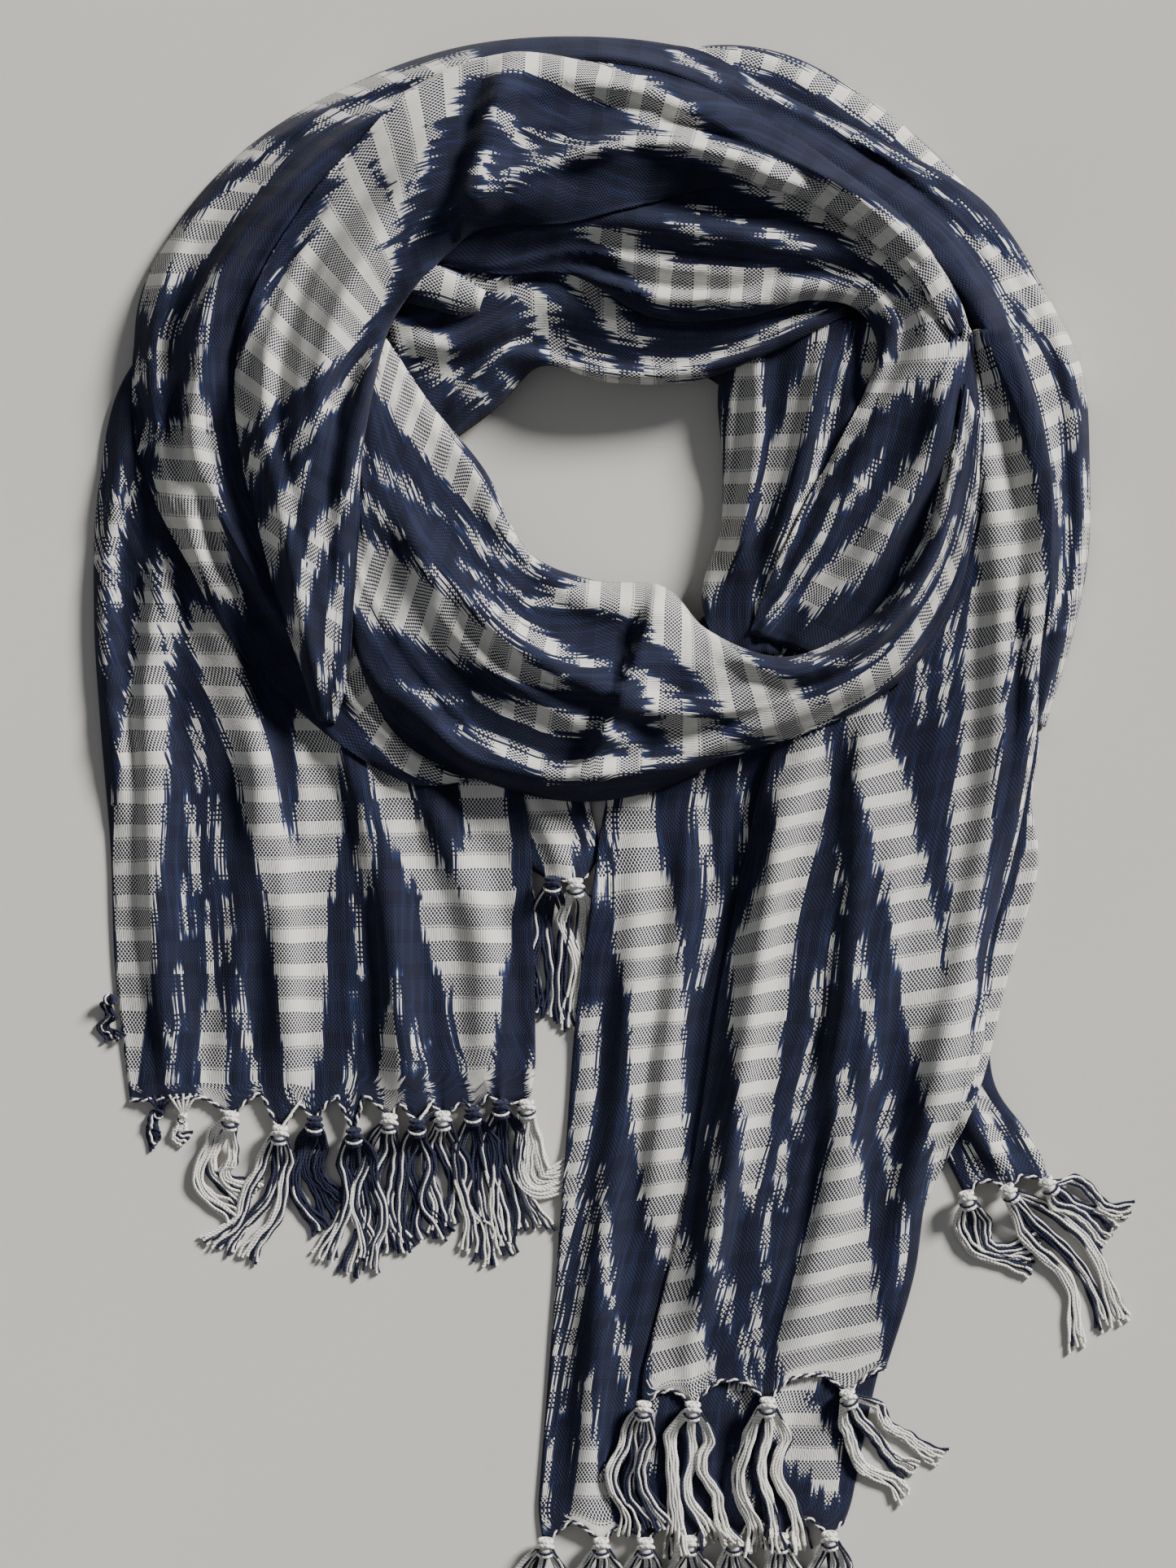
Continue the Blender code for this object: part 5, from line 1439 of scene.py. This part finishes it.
@dataclass(frozen=True)
class IkatCloth:
    """Cotton woven from resist-dyed warp yarns and a dark weft, with bars of long and of close weave."""

    navy: tuple = (16, 19, 38)
    indigo: tuple = (38, 54, 98)
    white: tuple = (232, 230, 221)
    weft: tuple = (16, 20, 39)
    fleck: tuple = (50, 58, 92)
    yarn: float = 0.78  # pitch of the warp, mm
    pick: float = 1.01  # pitch of the weft, mm
    drift: float = 5.0  # how far a yarn's dye may be shifted along it, mm
    tied: float = 4.0  # yarns that were tied together
    streak: float = 3.0  # how far the dye's edge wanders along a yarn, mm
    stray: float = 3.4  # the same from one length of yarn to the next, mm
    stray_length: float = 37.0  # mm
    bar: float = 15.0  # picks from one bar of long floats to the next
    long_floats: float = 3.0  # half width of such a bar, picks
    bump: float = 0.5
    bump_depth: float = 0.0004  # m

    def build(self) -> bpy.types.Material:
        """Make the material.

        Returns:
            The finished material, which reads the dye attributes and the warp map.
        """
        material = bpy.data.materials.new("ikat_cloth")
        material.use_nodes = True
        sheet = NodeSheet(material.node_tree)
        uv = sheet.add("ShaderNodeUVMap", uv_map="warp")
        parts = sheet.add("ShaderNodeSeparateXYZ")
        sheet.plug(uv.outputs[0], parts.inputs[0])
        u, v = parts.outputs[0], parts.outputs[1]
        dye = sheet.add("ShaderNodeAttribute", attribute_name="dye").outputs["Fac"]
        run = sheet.add("ShaderNodeAttribute", attribute_name="dye_run").outputs["Fac"]

        yarns = sheet.math("DIVIDE", v, self.yarn)
        single = sheet.chance(sheet.math("FLOOR", yarns))
        bundle = sheet.chance(sheet.math("FLOOR", sheet.math("DIVIDE", yarns, self.tied)))
        shift = sheet.math("ADD", single, sheet.math("MULTIPLY", bundle, 1.6))
        shift = sheet.math("MULTIPLY", sheet.math("SUBTRACT", shift, 1.3), self.drift)
        streak = sheet.noise(sheet.math("DIVIDE", u, 14.0), sheet.math("DIVIDE", v, 1.1))
        streak = sheet.math("MULTIPLY", sheet.math("SUBTRACT", streak, 0.5), self.streak)
        length = sheet.math("FLOOR", sheet.math("DIVIDE", u, self.stray_length))
        piece = sheet.math("ADD", sheet.math("FLOOR", yarns), sheet.math("MULTIPLY", length, 13.7))
        stray = sheet.math("SUBTRACT", sheet.chance(piece), 0.5)
        streak = sheet.math("ADD", streak, sheet.math("MULTIPLY", stray, self.stray))
        seen = sheet.math("ADD", sheet.math("ADD", dye, streak), sheet.math("MULTIPLY", run, shift))
        soft = sheet.math("ADD", sheet.math("MULTIPLY", sheet.math("ABSOLUTE", run), 2.0), 0.3)
        bare = sheet.span(seen, sheet.math("MULTIPLY", soft, -0.4), soft)
        halo = sheet.span(seen, sheet.math("SUBTRACT", sheet.math("MULTIPLY", soft, -1.6), 0.9), 0.2)

        tone = sheet.noise(sheet.math("DIVIDE", u, 40.0), sheet.math("DIVIDE", v, 2.5), 3.0)
        dark = sheet.mixed(sheet.math("MULTIPLY", halo, 0.8), plain(self.navy), plain(self.indigo))
        patchy = sheet.math("MULTIPLY", sheet.span(tone, 0.45, 0.8), 0.35)
        dark = sheet.mixed(patchy, dark, plain(self.indigo))
        warp = sheet.mixed(bare, dark, plain(self.white))

        wander = sheet.noise(sheet.math("DIVIDE", u, 35.0), sheet.math("DIVIDE", v, 35.0))
        picks = sheet.math("ADD", sheet.math("DIVIDE", u, self.pick), sheet.math("MULTIPLY", wander, 3.0))
        odd = sheet.math("ABSOLUTE", sheet.math("MODULO", sheet.math("FLOOR", yarns), 2.0))
        close = sheet.span(sheet.math("PINGPONG", sheet.math("ADD", picks, odd), 1.0), 0.38, 0.6)
        bar = sheet.math("MULTIPLY", sheet.math("FRACT", sheet.math("DIVIDE", picks, self.bar)), self.bar)
        away = sheet.math("ABSOLUTE", sheet.math("SUBTRACT", bar, self.bar / 2))
        float_end = sheet.math("SUBTRACT", self.long_floats, odd)
        long_float = sheet.span(away, sheet.math("ADD", float_end, 0.8), float_end)
        over = sheet.math("MAXIMUM", close, long_float)
        round_yarn = sheet.math("ABSOLUTE", sheet.math("SINE", sheet.math("MULTIPLY", yarns, math.pi)))
        gap = sheet.span(round_yarn, 0.1, 0.7)
        over = sheet.math("MULTIPLY", over, sheet.math("ADD", sheet.math("MULTIPLY", gap, 0.6), 0.4))
        weft = sheet.mixed(sheet.math("MULTIPLY", tone, 0.4), plain(self.weft), plain(self.fleck))
        colour = sheet.mixed(over, weft, warp)

        height = sheet.math("MULTIPLY", over, sheet.math("ADD", round_yarn, 0.4))
        bump = sheet.add("ShaderNodeBump")
        bump.inputs["Strength"].default_value = self.bump
        bump.inputs["Distance"].default_value = self.bump_depth
        sheet.plug(height, bump.inputs["Height"])
        surface = sheet.add("ShaderNodeBsdfPrincipled")
        sheet.plug(colour, surface.inputs["Base Color"])
        surface.inputs["Roughness"].default_value = 0.85
        surface.inputs["Specular IOR Level"].default_value = 0.25
        surface.inputs["Sheen Weight"].default_value = 0.05
        surface.inputs["Sheen Roughness"].default_value = 0.5
        sheet.plug(bump.outputs[0], surface.inputs["Normal"])
        output = sheet.add("ShaderNodeOutputMaterial")
        sheet.plug(surface.outputs[0], output.inputs[0])
        return material


@dataclass(frozen=True)
class PliedYarn:
    """Two-ply cotton yarn, dyed in lengths, with painted shade in the grooves between its plies."""

    navy: tuple = (24, 29, 54)
    white: tuple = (234, 232, 224)
    twist: float = 3.2  # turns of the ply a centimetre
    bump: float = 0.6
    bump_depth: float = 0.0003  # m

    def build(self) -> bpy.types.Material:
        """Make the material.

        Returns:
            The finished material, which reads the attributes along, around_x, around_y and white.
        """
        material = bpy.data.materials.new("plied_yarn")
        material.use_nodes = True
        sheet = NodeSheet(material.node_tree)
        names = ("along", "around_x", "around_y", "white")
        along, x, y, white = (
            sheet.add("ShaderNodeAttribute", attribute_name=name).outputs["Fac"] for name in names
        )
        angle = sheet.math("MULTIPLY", along, self.twist * 2 * math.pi / 10)
        ply = sheet.math("ADD", sheet.math("MULTIPLY", x, sheet.math("COSINE", angle)),
                         sheet.math("MULTIPLY", y, sheet.math("SINE", angle)))
        ply = sheet.math("ABSOLUTE", ply)
        ragged = sheet.noise(sheet.math("MULTIPLY", along, 0.9), sheet.math("MULTIPLY", x, 2.0))
        edge = sheet.math("ADD", white, sheet.math("MULTIPLY", sheet.math("SUBTRACT", ragged, 0.5), 0.5))
        colour = sheet.mixed(sheet.span(edge, 0.35, 0.65), plain(self.navy), plain(self.white))
        # Painted shade: the yarn's colour is darkened to about half in the grooves between its two plies.
        groove = sheet.span(ply, 0.0, 0.45)
        shade = sheet.mixed(groove, (0.45, 0.45, 0.5, 1.0), (1.0, 1.0, 1.0, 1.0))
        groove_shaded_colour = sheet.add("ShaderNodeMix", data_type="RGBA", blend_type="MULTIPLY")
        groove_shaded_colour.inputs[0].default_value = 1.0
        sheet.plug(colour, groove_shaded_colour.inputs[6])
        sheet.plug(shade, groove_shaded_colour.inputs[7])
        bump = sheet.add("ShaderNodeBump")
        bump.inputs["Strength"].default_value = self.bump
        bump.inputs["Distance"].default_value = self.bump_depth
        sheet.plug(ply, bump.inputs["Height"])
        surface = sheet.add("ShaderNodeBsdfPrincipled")
        sheet.plug(groove_shaded_colour.outputs[2], surface.inputs["Base Color"])
        surface.inputs["Roughness"].default_value = 0.9
        surface.inputs["Specular IOR Level"].default_value = 0.2
        surface.inputs["Sheen Weight"].default_value = 0.15
        sheet.plug(bump.outputs[0], surface.inputs["Normal"])
        output = sheet.add("ShaderNodeOutputMaterial")
        sheet.plug(surface.outputs[0], output.inputs[0])
        return material


@dataclass(frozen=True)
class PaleFloor:
    """A plain matt studio surface."""

    colour: tuple = (206, 203, 197)

    def build(self) -> bpy.types.Material:
        """Make the material.

        Returns:
            The finished material.
        """
        material = bpy.data.materials.new("pale_floor")
        material.use_nodes = True
        sheet = NodeSheet(material.node_tree)
        place = sheet.add("ShaderNodeTexCoord")
        noise = sheet.add("ShaderNodeTexNoise")
        sheet.plug(place.outputs["Object"], noise.inputs["Vector"])
        noise.inputs["Scale"].default_value = 6.0
        darker = tuple(round(c * 0.97) for c in self.colour)
        surface = sheet.add("ShaderNodeBsdfPrincipled")
        colour = sheet.mixed(noise.outputs[0], plain(darker), plain(self.colour))
        sheet.plug(colour, surface.inputs["Base Color"])
        surface.inputs["Roughness"].default_value = 0.9
        output = sheet.add("ShaderNodeOutputMaterial")
        sheet.plug(surface.outputs[0], output.inputs[0])
        return material


class YarnTree:
    """The Geometry Nodes tree that turns marked lines into yarn."""

    def __init__(self, sides: int = 6) -> None:
        """Build the tree once.

        Args:
            sides: Sides of a yarn's round section.
        """
        tree = bpy.data.node_groups.new("yarn", "GeometryNodeTree")
        sockets = tree.interface
        sockets.new_socket("Lines", in_out="INPUT", socket_type="NodeSocketGeometry")
        radius = sockets.new_socket("Radius", in_out="INPUT", socket_type="NodeSocketFloat")
        finish = sockets.new_socket("Material", in_out="INPUT", socket_type="NodeSocketMaterial")
        sockets.new_socket("Yarn", in_out="OUTPUT", socket_type="NodeSocketGeometry")
        self.tree, self.radius, self.finish = tree, radius.identifier, finish.identifier
        nodes, links = tree.nodes, tree.links
        start, end = nodes.new("NodeGroupInput"), nodes.new("NodeGroupOutput")
        lines = nodes.new("GeometryNodeMeshToCurve")
        links.new(start.outputs["Lines"], lines.inputs["Mesh"])
        thick = nodes.new("GeometryNodeInputNamedAttribute")
        thick.data_type = "FLOAT"
        thick.inputs["Name"].default_value = "thick"
        scaled = nodes.new("ShaderNodeMath")
        scaled.operation = "MULTIPLY"
        links.new(thick.outputs["Attribute"], scaled.inputs[0])
        links.new(start.outputs["Radius"], scaled.inputs[1])
        circle = nodes.new("GeometryNodeCurvePrimitiveCircle")
        circle.inputs["Resolution"].default_value = sides
        circle.inputs["Radius"].default_value = 1.0
        place = nodes.new("GeometryNodeInputPosition")
        split = nodes.new("ShaderNodeSeparateXYZ")
        links.new(place.outputs[0], split.inputs[0])
        profile = circle.outputs["Curve"]
        for name, output in (("around_x", split.outputs[0]), ("around_y", split.outputs[1])):
            stored = nodes.new("GeometryNodeStoreNamedAttribute")
            stored.data_type = "FLOAT"
            stored.inputs["Name"].default_value = name
            links.new(profile, stored.inputs["Geometry"])
            links.new(output, stored.inputs["Value"])
            profile = stored.outputs["Geometry"]
        tube = nodes.new("GeometryNodeCurveToMesh")
        tube.inputs["Fill Caps"].default_value = True
        links.new(lines.outputs["Curve"], tube.inputs["Curve"])
        links.new(scaled.outputs[0], tube.inputs["Scale"])
        links.new(profile, tube.inputs["Profile Curve"])
        smooth = nodes.new("GeometryNodeSetShadeSmooth")
        links.new(tube.outputs["Mesh"], smooth.inputs["Geometry"])
        whole = nodes.new("GeometryNodeRealizeInstances")
        links.new(smooth.outputs["Geometry"], whole.inputs["Geometry"])
        dressed = nodes.new("GeometryNodeSetMaterial")
        links.new(whole.outputs["Geometry"], dressed.inputs["Geometry"])
        links.new(start.outputs["Material"], dressed.inputs["Material"])
        links.new(dressed.outputs["Geometry"], end.inputs["Yarn"])

    def spin(self, name: str, strands: list, material: bpy.types.Material) -> bpy.types.Object:
        """Turn lines into one object of yarn.

        Args:
            name: The object's name.
            strands: For each line, its points in millimetres, the radius at each, and its whiteness at each.
            material: The yarn's material.

        Returns:
            A plain mesh object.
        """
        points, edges, thick, white, along = [], [], [], [], []
        for line, radii, whiteness in strands:
            first = len(points)
            points.extend(line.tolist())
            edges.extend((first + n, first + n + 1) for n in range(len(line) - 1))
            thick.extend(radii)
            white.extend(whiteness)
            run = np.cumsum(np.linalg.norm(np.diff(line, axis=0), axis=1))
            along.extend(np.concatenate([[0.0], run]))
        mesh = bpy.data.meshes.new(name)
        mesh.from_pydata((np.array(points) * MM).tolist(), edges, [])
        for title, values in (("thick", thick), ("white", white), ("along", along)):
            set_attribute(mesh, title, np.array(values))
        obj = bpy.data.objects.new(name, mesh)
        bpy.context.scene.collection.objects.link(obj)
        modifier = obj.modifiers.new("yarn", "NODES")
        modifier.node_group = self.tree
        modifier[self.radius] = MM
        modifier[self.finish] = material
        graph = bpy.context.evaluated_depsgraph_get()
        made = bpy.data.meshes.new_from_object(obj.evaluated_get(graph), depsgraph=graph)
        obj.modifiers.clear()
        obj.data = made
        made.name = name
        return obj


@dataclass
class Tassel:
    """A bunch of hem yarns drawn into one overhand knot, with its loose ends."""

    fringe: Fringe
    hem: np.ndarray
    table: Tabletop
    seed: int
    yarns: int = 9  # in each bundle
    radius: float = 0.6  # of one yarn
    knot_long: float = 8.5
    knot_wide: float = 3.5
    gathered: int = 5  # hem points that a knot draws yarn from
    gather_reach: float = 14.0  # how far from it they may be
    points: int = 40  # of a loose yarn
    pitch: float = 1.9  # between the yarns of a row, in radii
    crimp: float = 0.22  # how far a loose yarn wavers
    slack: float = 1.2  # how high it may stand off

    def spine(self, count: int) -> np.ndarray:
        """Draw the tassel's middle line, seen from above.

        Args:
            count: How many points it has.

        Returns:
            Its points.
        """
        fringe = self.fringe
        path = (
            (fringe.knot_x, fringe.knot_y),
            (fringe.middle_x, fringe.middle_y),
            (fringe.tip_x, fringe.tip_y),
        )
        return splined(path, count)

    def gathers(self, back: np.ndarray, height: float, chance: np.random.Generator) -> list:
        """Draw the hem yarns that run into the knot.

        Args:
            back: The place where they enter the knot.
            height: The knot's middle height.
            chance: Random numbers.

        Returns:
            The strands.
        """
        reach_to = np.linalg.norm(self.hem[:, :2] - back, axis=1)
        order = np.argsort(reach_to)
        near = self.hem[[n for n in order[: self.gathered] if reach_to[n] < self.gather_reach]]
        strands = []
        for root in near:
            reach = np.linspace(0, 1, 9)[:, None]
            end = np.array([back[0], back[1], height])
            start = root + np.array([0, 0, 0.1])
            inside = start + (start - end) / max(np.linalg.norm(start - end), 1.0) * 2.0
            line = inside * (1 - reach) + end * reach
            line[:, 2] += 0.8 * np.sin(np.pi * reach[:, 0])
            line[:, 2] = np.maximum(line[:, 2], self.radius + 0.1)
            share = self.fringe.white_root
            colour = 1.0 if chance.uniform() < share else 0.0
            strands.append((line, np.full(9, self.radius * 0.95), np.full(9, colour)))
        return strands

    def windings(self, middle: np.ndarray, ahead: np.ndarray, height: float, white: float) -> list:
        """Wind the knot's turns round the bunch.

        Args:
            middle: The knot's place.
            ahead: The way that the bunch runs.
            height: The knot's middle height.
            white: How white the knot's yarn is.

        Returns:
            The strands.
        """
        across = np.array([-ahead[1], ahead[0]])
        wide, long = self.knot_wide * self.fringe.size, self.knot_long * self.fringe.size
        strands = []
        for turn, (offset, lean) in enumerate(((-0.34, 0.5), (0.0, -0.9), (0.34, 0.6), (0.1, 1.6))):
            t = np.linspace(0, 2 * np.pi, 19)
            bulge = 1 - 0.55 * abs(offset)
            along = offset * long + lean * np.cos(t) * 1.1
            side = np.sin(t) * wide * bulge * (0.9 if turn < 3 else 1.06)
            up = np.cos(t) * wide * 0.9 * bulge * (0.9 if turn < 3 else 1.06)
            plan = middle + along[:, None] * ahead + side[:, None] * across
            wrap = white if turn < 3 else 1.0 - white
            thick = self.radius * (1.7 if turn < 3 else 0.9) * self.fringe.size**0.5
            line = np.column_stack([plan, np.maximum(height + up, thick + 0.1)])
            strands.append((line, np.full(19, thick), np.full(19, wrap)))
        return strands

    def loose_yarn(self, rank: float, upper: bool, home: float, wave: np.ndarray, reach: float, height: float,
                   chance: np.random.Generator) -> np.ndarray:
        """Lay one loose yarn.

        Args:
            rank: Its place in its row, from the row's middle.
            upper: Whether it lies in the upper row.
            home: How far aside its bundle lies.
            wave: How the bundle sways, at each point.
            reach: How far along the tassel the bundle reaches.
            height: The knot's middle height.
            chance: Random numbers.

        Returns:
            Its points.
        """
        count = self.points
        spacing = self.radius * self.pitch
        spine = self.spine(count)
        heading = np.gradient(spine, axis=0)
        heading /= np.linalg.norm(heading, axis=1, keepdims=True)
        side = np.stack([-heading[:, 1], heading[:, 0]], axis=-1)
        far = np.linspace(0, 1, count)
        opened = np.clip(far / 0.2, 0, 1)
        splay = 1 + 0.9 * np.clip((far - 0.72) / 0.28, 0, 1) ** 1.5
        crimp = self.crimp * np.sin(far * chance.uniform(25, 45) + chance.uniform(0, 6.3))
        across = home * (0.25 + 0.75 * opened) * splay**0.5 + wave * opened
        across = across + (rank * spacing * (0.6 + 0.4 * opened) + crimp) * splay
        across = across + chance.normal(0, 0.7) * np.clip((far - 0.6) / 0.4, 0, 1)
        length = reach * chance.uniform(0.95, 1.03)
        at = np.interp(far * length, far, np.arange(count))
        low = at.astype(int)
        high = np.minimum(low + 1, count - 1)
        share = (at - low)[:, None]
        plan = spine[low] * (1 - share) + spine[high] * share
        plan = plan + side[low] * across[:, None]
        rest = self.table.under(plan) + self.radius
        pile = self.radius * 1.7 * upper + 0.9 * abs(home) / max(self.fringe.spread, 1)
        loose = self.slack * np.sin(math.pi * np.clip(far * 1.4, 0, 1)) * chance.uniform(0.4, 1.2)
        blend = np.clip((far - 0.03) / 0.2, 0, 1)
        level = (height + rank * 0.5) * (1 - blend) + (rest + pile * (1 - 0.5 * far) + loose) * blend
        return np.column_stack([plan, np.maximum(level, rest)])

    def ends(self, height: float, chance: np.random.Generator) -> list:
        """Lay the loose yarns from the knot to their tips, in bundles of two rows.

        Args:
            height: The knot's middle height.
            chance: Random numbers.

        Returns:
            The strands.
        """
        fringe = self.fringe
        far = np.linspace(0, 1, self.points)
        lower_row, upper_row = (self.yarns + 1) // 2, self.yarns // 2
        bundles = 3 if fringe.spread >= 3.2 else 2 if fringe.size == 1.0 else 1
        strands = []
        for bundle in range(bundles):
            home = (bundle - (bundles - 1) / 2) * fringe.spread * 0.95
            turns, phase = chance.uniform(0.8, 1.9), chance.uniform(0, 6.3)
            wave = chance.uniform(1.0, 2.4) * np.sin(2 * math.pi * turns * far + phase)
            reach = chance.uniform(0.88, 1.0)
            for yarn in range(self.yarns):
                upper = yarn >= lower_row
                row, place = (upper_row, yarn - lower_row) if upper else (lower_row, yarn)
                line = self.loose_yarn(place - (row - 1) / 2, upper, home, wave, reach, height, chance)
                draw = (bundle * self.yarns + yarn + 0.5) * 0.618 % 1.0
                root = 1.0 if draw < fringe.white_root else 0.0
                tip = 1.0 if draw < fringe.white_tip else 0.0
                change = chance.uniform(0.3, 0.7)
                white = root + (tip - root) * np.clip((far - change) / 0.12 + 0.5, 0, 1)
                radii = self.radius * (1 + 0.25 * np.clip((far - 0.95) / 0.05, 0, 1))
                strands.append((line, radii, white))
        return strands

    def build(self, tree: YarnTree, material: bpy.types.Material) -> bpy.types.Object:
        """Make the whole tassel.

        Args:
            tree: The tree that spins the yarn.
            material: The yarn's material.

        Returns:
            The tassel's object.
        """
        fringe = self.fringe
        chance = np.random.default_rng(self.seed)
        middle = np.array([fringe.knot_x, fringe.knot_y], float)
        spine = self.spine(20)
        ahead = spine[1] - spine[0]
        hem = self.hem[np.argmin(np.linalg.norm(self.hem[:, :2] - middle, axis=1)), :2]
        ahead = ahead / np.linalg.norm(ahead) + (middle - hem) / max(np.linalg.norm(middle - hem), 1e-6)
        ahead = ahead / max(np.linalg.norm(ahead), 1e-6)
        around = middle + np.array([[0, 0], [3, 0], [-3, 0], [0, 3], [0, -3]])
        wide, long = self.knot_wide * fringe.size, self.knot_long * fringe.size
        height = self.table.under(around).max() + wide
        back = middle - ahead * long * 0.25
        core_t = np.linspace(-0.5, 0.5, 9)
        core = np.column_stack([middle + core_t[:, None] * long * 0.9 * ahead, np.full(9, height)])
        bulge = wide * 0.82 * np.sqrt(np.clip(1 - (core_t * 1.9) ** 2, 0.05, 1))
        white = 1.0 if fringe.white_root >= 0.3 else 0.0
        strands = [(core, bulge, np.full(9, white))]
        strands += self.gathers(back, height, chance)
        strands += self.windings(middle, ahead, height, white)
        strands += self.ends(height, chance)
        obj = tree.spin(f"{fringe.name}_yarns", strands, material)
        for line, _, _ in strands:
            self.table.pile(line, self.radius)
        return obj


@dataclass(frozen=True)
class HemCord:
    """The twisted pair of yarns that runs along a hem from knot to knot."""

    radius: float = 0.5
    lay: float = 6.0  # length of one turn of the twist
    step: float = 0.9  # between two points
    apart: float = 0.55  # of each yarn from the cord's middle
    rise: float = 0.35  # of the cord's middle above the hem

    def build(self, name: str, hem: np.ndarray, tree: YarnTree,
              material: bpy.types.Material) -> bpy.types.Object:
        """Twist a white and a navy yarn along a hem.

        Args:
            name: The object's name.
            hem: The hem's points in order.
            tree: The tree that spins the yarn.
            material: The yarn's material.

        Returns:
            The cord's object.
        """
        run = np.concatenate([[0.0], np.cumsum(np.linalg.norm(np.diff(hem, axis=0), axis=1))])
        count = round(run[-1] / self.step)
        at = np.linspace(0, run[-1], count)
        path = np.stack([np.interp(at, run, hem[:, n]) for n in range(3)], axis=-1)
        along = np.gradient(path, axis=0)
        along /= np.maximum(np.linalg.norm(along, axis=1, keepdims=True), 1e-9)
        side = np.cross(along, [0.0, 0.0, 1.0])
        strands = []
        for turn, white in ((0.0, 1.0), (math.pi, 0.0)):
            angle = 2 * math.pi * at / self.lay + turn
            line = path + side * (self.apart * np.cos(angle))[:, None]
            line[:, 2] += self.rise + self.radius * np.sin(angle)
            line[:, 2] = np.maximum(line[:, 2], self.radius + 0.05)
            strands.append((line, np.full(count, self.radius), np.full(count, white)))
        return tree.spin(name, strands, material)


class Lamp(NamedTuple):
    """A light that points at the origin. Its size is an angle for the sun, and else a side in metres."""

    place: tuple
    size: float
    power: float
    colour: tuple


class LightSpot(Enum):
    """The studio lights: a low sun from the upper right, and a soft fill from the left."""

    SUN = Lamp((1.0, 0.85, 0.68), 0.25, 7.4, (1.0, 0.98, 0.95))
    FILL = Lamp((-1.2, -0.5, 1.6), 2.0, 3.5, (0.93, 0.96, 1.0))


@dataclass(frozen=True)
class Studio:
    """The floor, the lights and the camera."""

    centre: tuple = (-10.7, 34.5)
    frame_height: float = 674.45  # what the camera sees from top to bottom, at the table
    distance: float = 2400.0
    sensor: float = 36.0
    floor_side: float = 6000.0
    surround: tuple = (0.9, 0.93, 1.0, 1.0)
    surround_strength: float = 0.15

    def floor(self, material: bpy.types.Material) -> bpy.types.Object:
        """Lay the floor.

        Args:
            material: The floor's material.

        Returns:
            The floor's object.
        """
        half = self.floor_side / 2
        corners = np.array([[-half, -half, 0], [half, -half, 0], [half, half, 0], [-half, half, 0]], float)
        obj = new_object("studio_floor", corners, np.array([[0, 1, 2, 3]]), np.array([False]))
        obj.data.materials.append(material)
        return obj

    def lights(self) -> None:
        """Hang the lights and set a soft surround."""
        for spot in LightSpot:
            lamp = spot.value
            kind = "SUN" if spot is LightSpot.SUN else "AREA"
            data = bpy.data.lights.new(spot.name.lower(), kind)
            data.energy = lamp.power
            data.color = lamp.colour
            if kind == "SUN":
                data.angle = lamp.size
            else:
                data.size = lamp.size
            obj = bpy.data.objects.new(spot.name.lower(), data)
            obj.location = lamp.place
            obj.rotation_euler = (-Vector(lamp.place)).to_track_quat("-Z", "Y").to_euler()
            bpy.context.scene.collection.objects.link(obj)
        world = bpy.data.worlds.new("studio")
        world.use_nodes = True
        background = world.node_tree.nodes["Background"]
        background.inputs["Color"].default_value = self.surround
        background.inputs["Strength"].default_value = self.surround_strength
        bpy.context.scene.world = world

    def camera(self) -> None:
        """Put the camera straight above, as the photo was taken."""
        data = bpy.data.cameras.new("camera")
        data.sensor_fit = "AUTO"
        data.sensor_width = self.sensor
        data.lens = self.sensor * self.distance / self.frame_height
        data.clip_start, data.clip_end = 0.1, 20.0
        obj = bpy.data.objects.new("camera", data)
        obj.location = (self.centre[0] * MM, self.centre[1] * MM, self.distance * MM)
        obj.rotation_euler = (0.0, 0.0, 0.0)
        bpy.context.scene.collection.objects.link(obj)
        bpy.context.scene.camera = obj


def hang_fringe(panel: ClothStretch, tree: YarnTree, yarn: bpy.types.Material) -> list:
    """Hang a stretch's tassels on its hem, and finish the hem with its cord.

    Args:
        panel: The stretch, laid.
        tree: The tree that spins the yarn.
        yarn: The yarn's material.

    Returns:
        The objects of the fringe.
    """
    name = panel.stretch.name
    pieces = []
    for number, fringe in enumerate(TASSELS):
        if fringe.hem != name:
            continue
        tassel = Tassel(fringe, panel.hem_row, panel.table, TASSEL_SEED + number).build(tree, yarn)
        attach(tassel, "root")
        if fringe.name not in CORNER_TASSELS:
            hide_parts(fringe.name)
        pieces.append(tassel)
    if name in FRINGED:
        cord = HemCord().build(f"{name}_hem_cord", panel.hem_row, tree, yarn)
        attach(cord, "root")
        pieces.append(cord)
    return pieces


def main() -> None:
    """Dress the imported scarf, stretch by stretch from the table up."""
    logging.basicConfig(level=logging.INFO, format="%(message)s")
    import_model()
    table = Tabletop()
    cloth = IkatCloth().build()
    yarn = PliedYarn().build()
    tree = YarnTree()

    heap = Heap(HEAP, HEAP_PROFILE).build(table)
    heap.data.materials.append(cloth)
    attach(heap, "root")
    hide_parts("hidden_layers")
    table.refresh()
    LOG.info("hidden_layers: %d faces", len(heap.data.polygons))
    for seed, stretch in enumerate(STRETCHES):
        panel = ClothStretch(stretch, table, TASSELS, seed)
        obj = panel.build()
        obj.data.materials.append(cloth)
        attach(obj, "root")
        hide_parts(stretch.name)
        table.refresh()
        fringe = hang_fringe(panel, tree, yarn)
        table.refresh()
        LOG.info("%s: %d faces, %d pieces of fringe", stretch.name, len(obj.data.polygons), len(fringe))

    studio = Studio()
    studio.floor(PaleFloor().build())
    studio.lights()
    studio.camera()


if __name__ == "__main__":
    main()
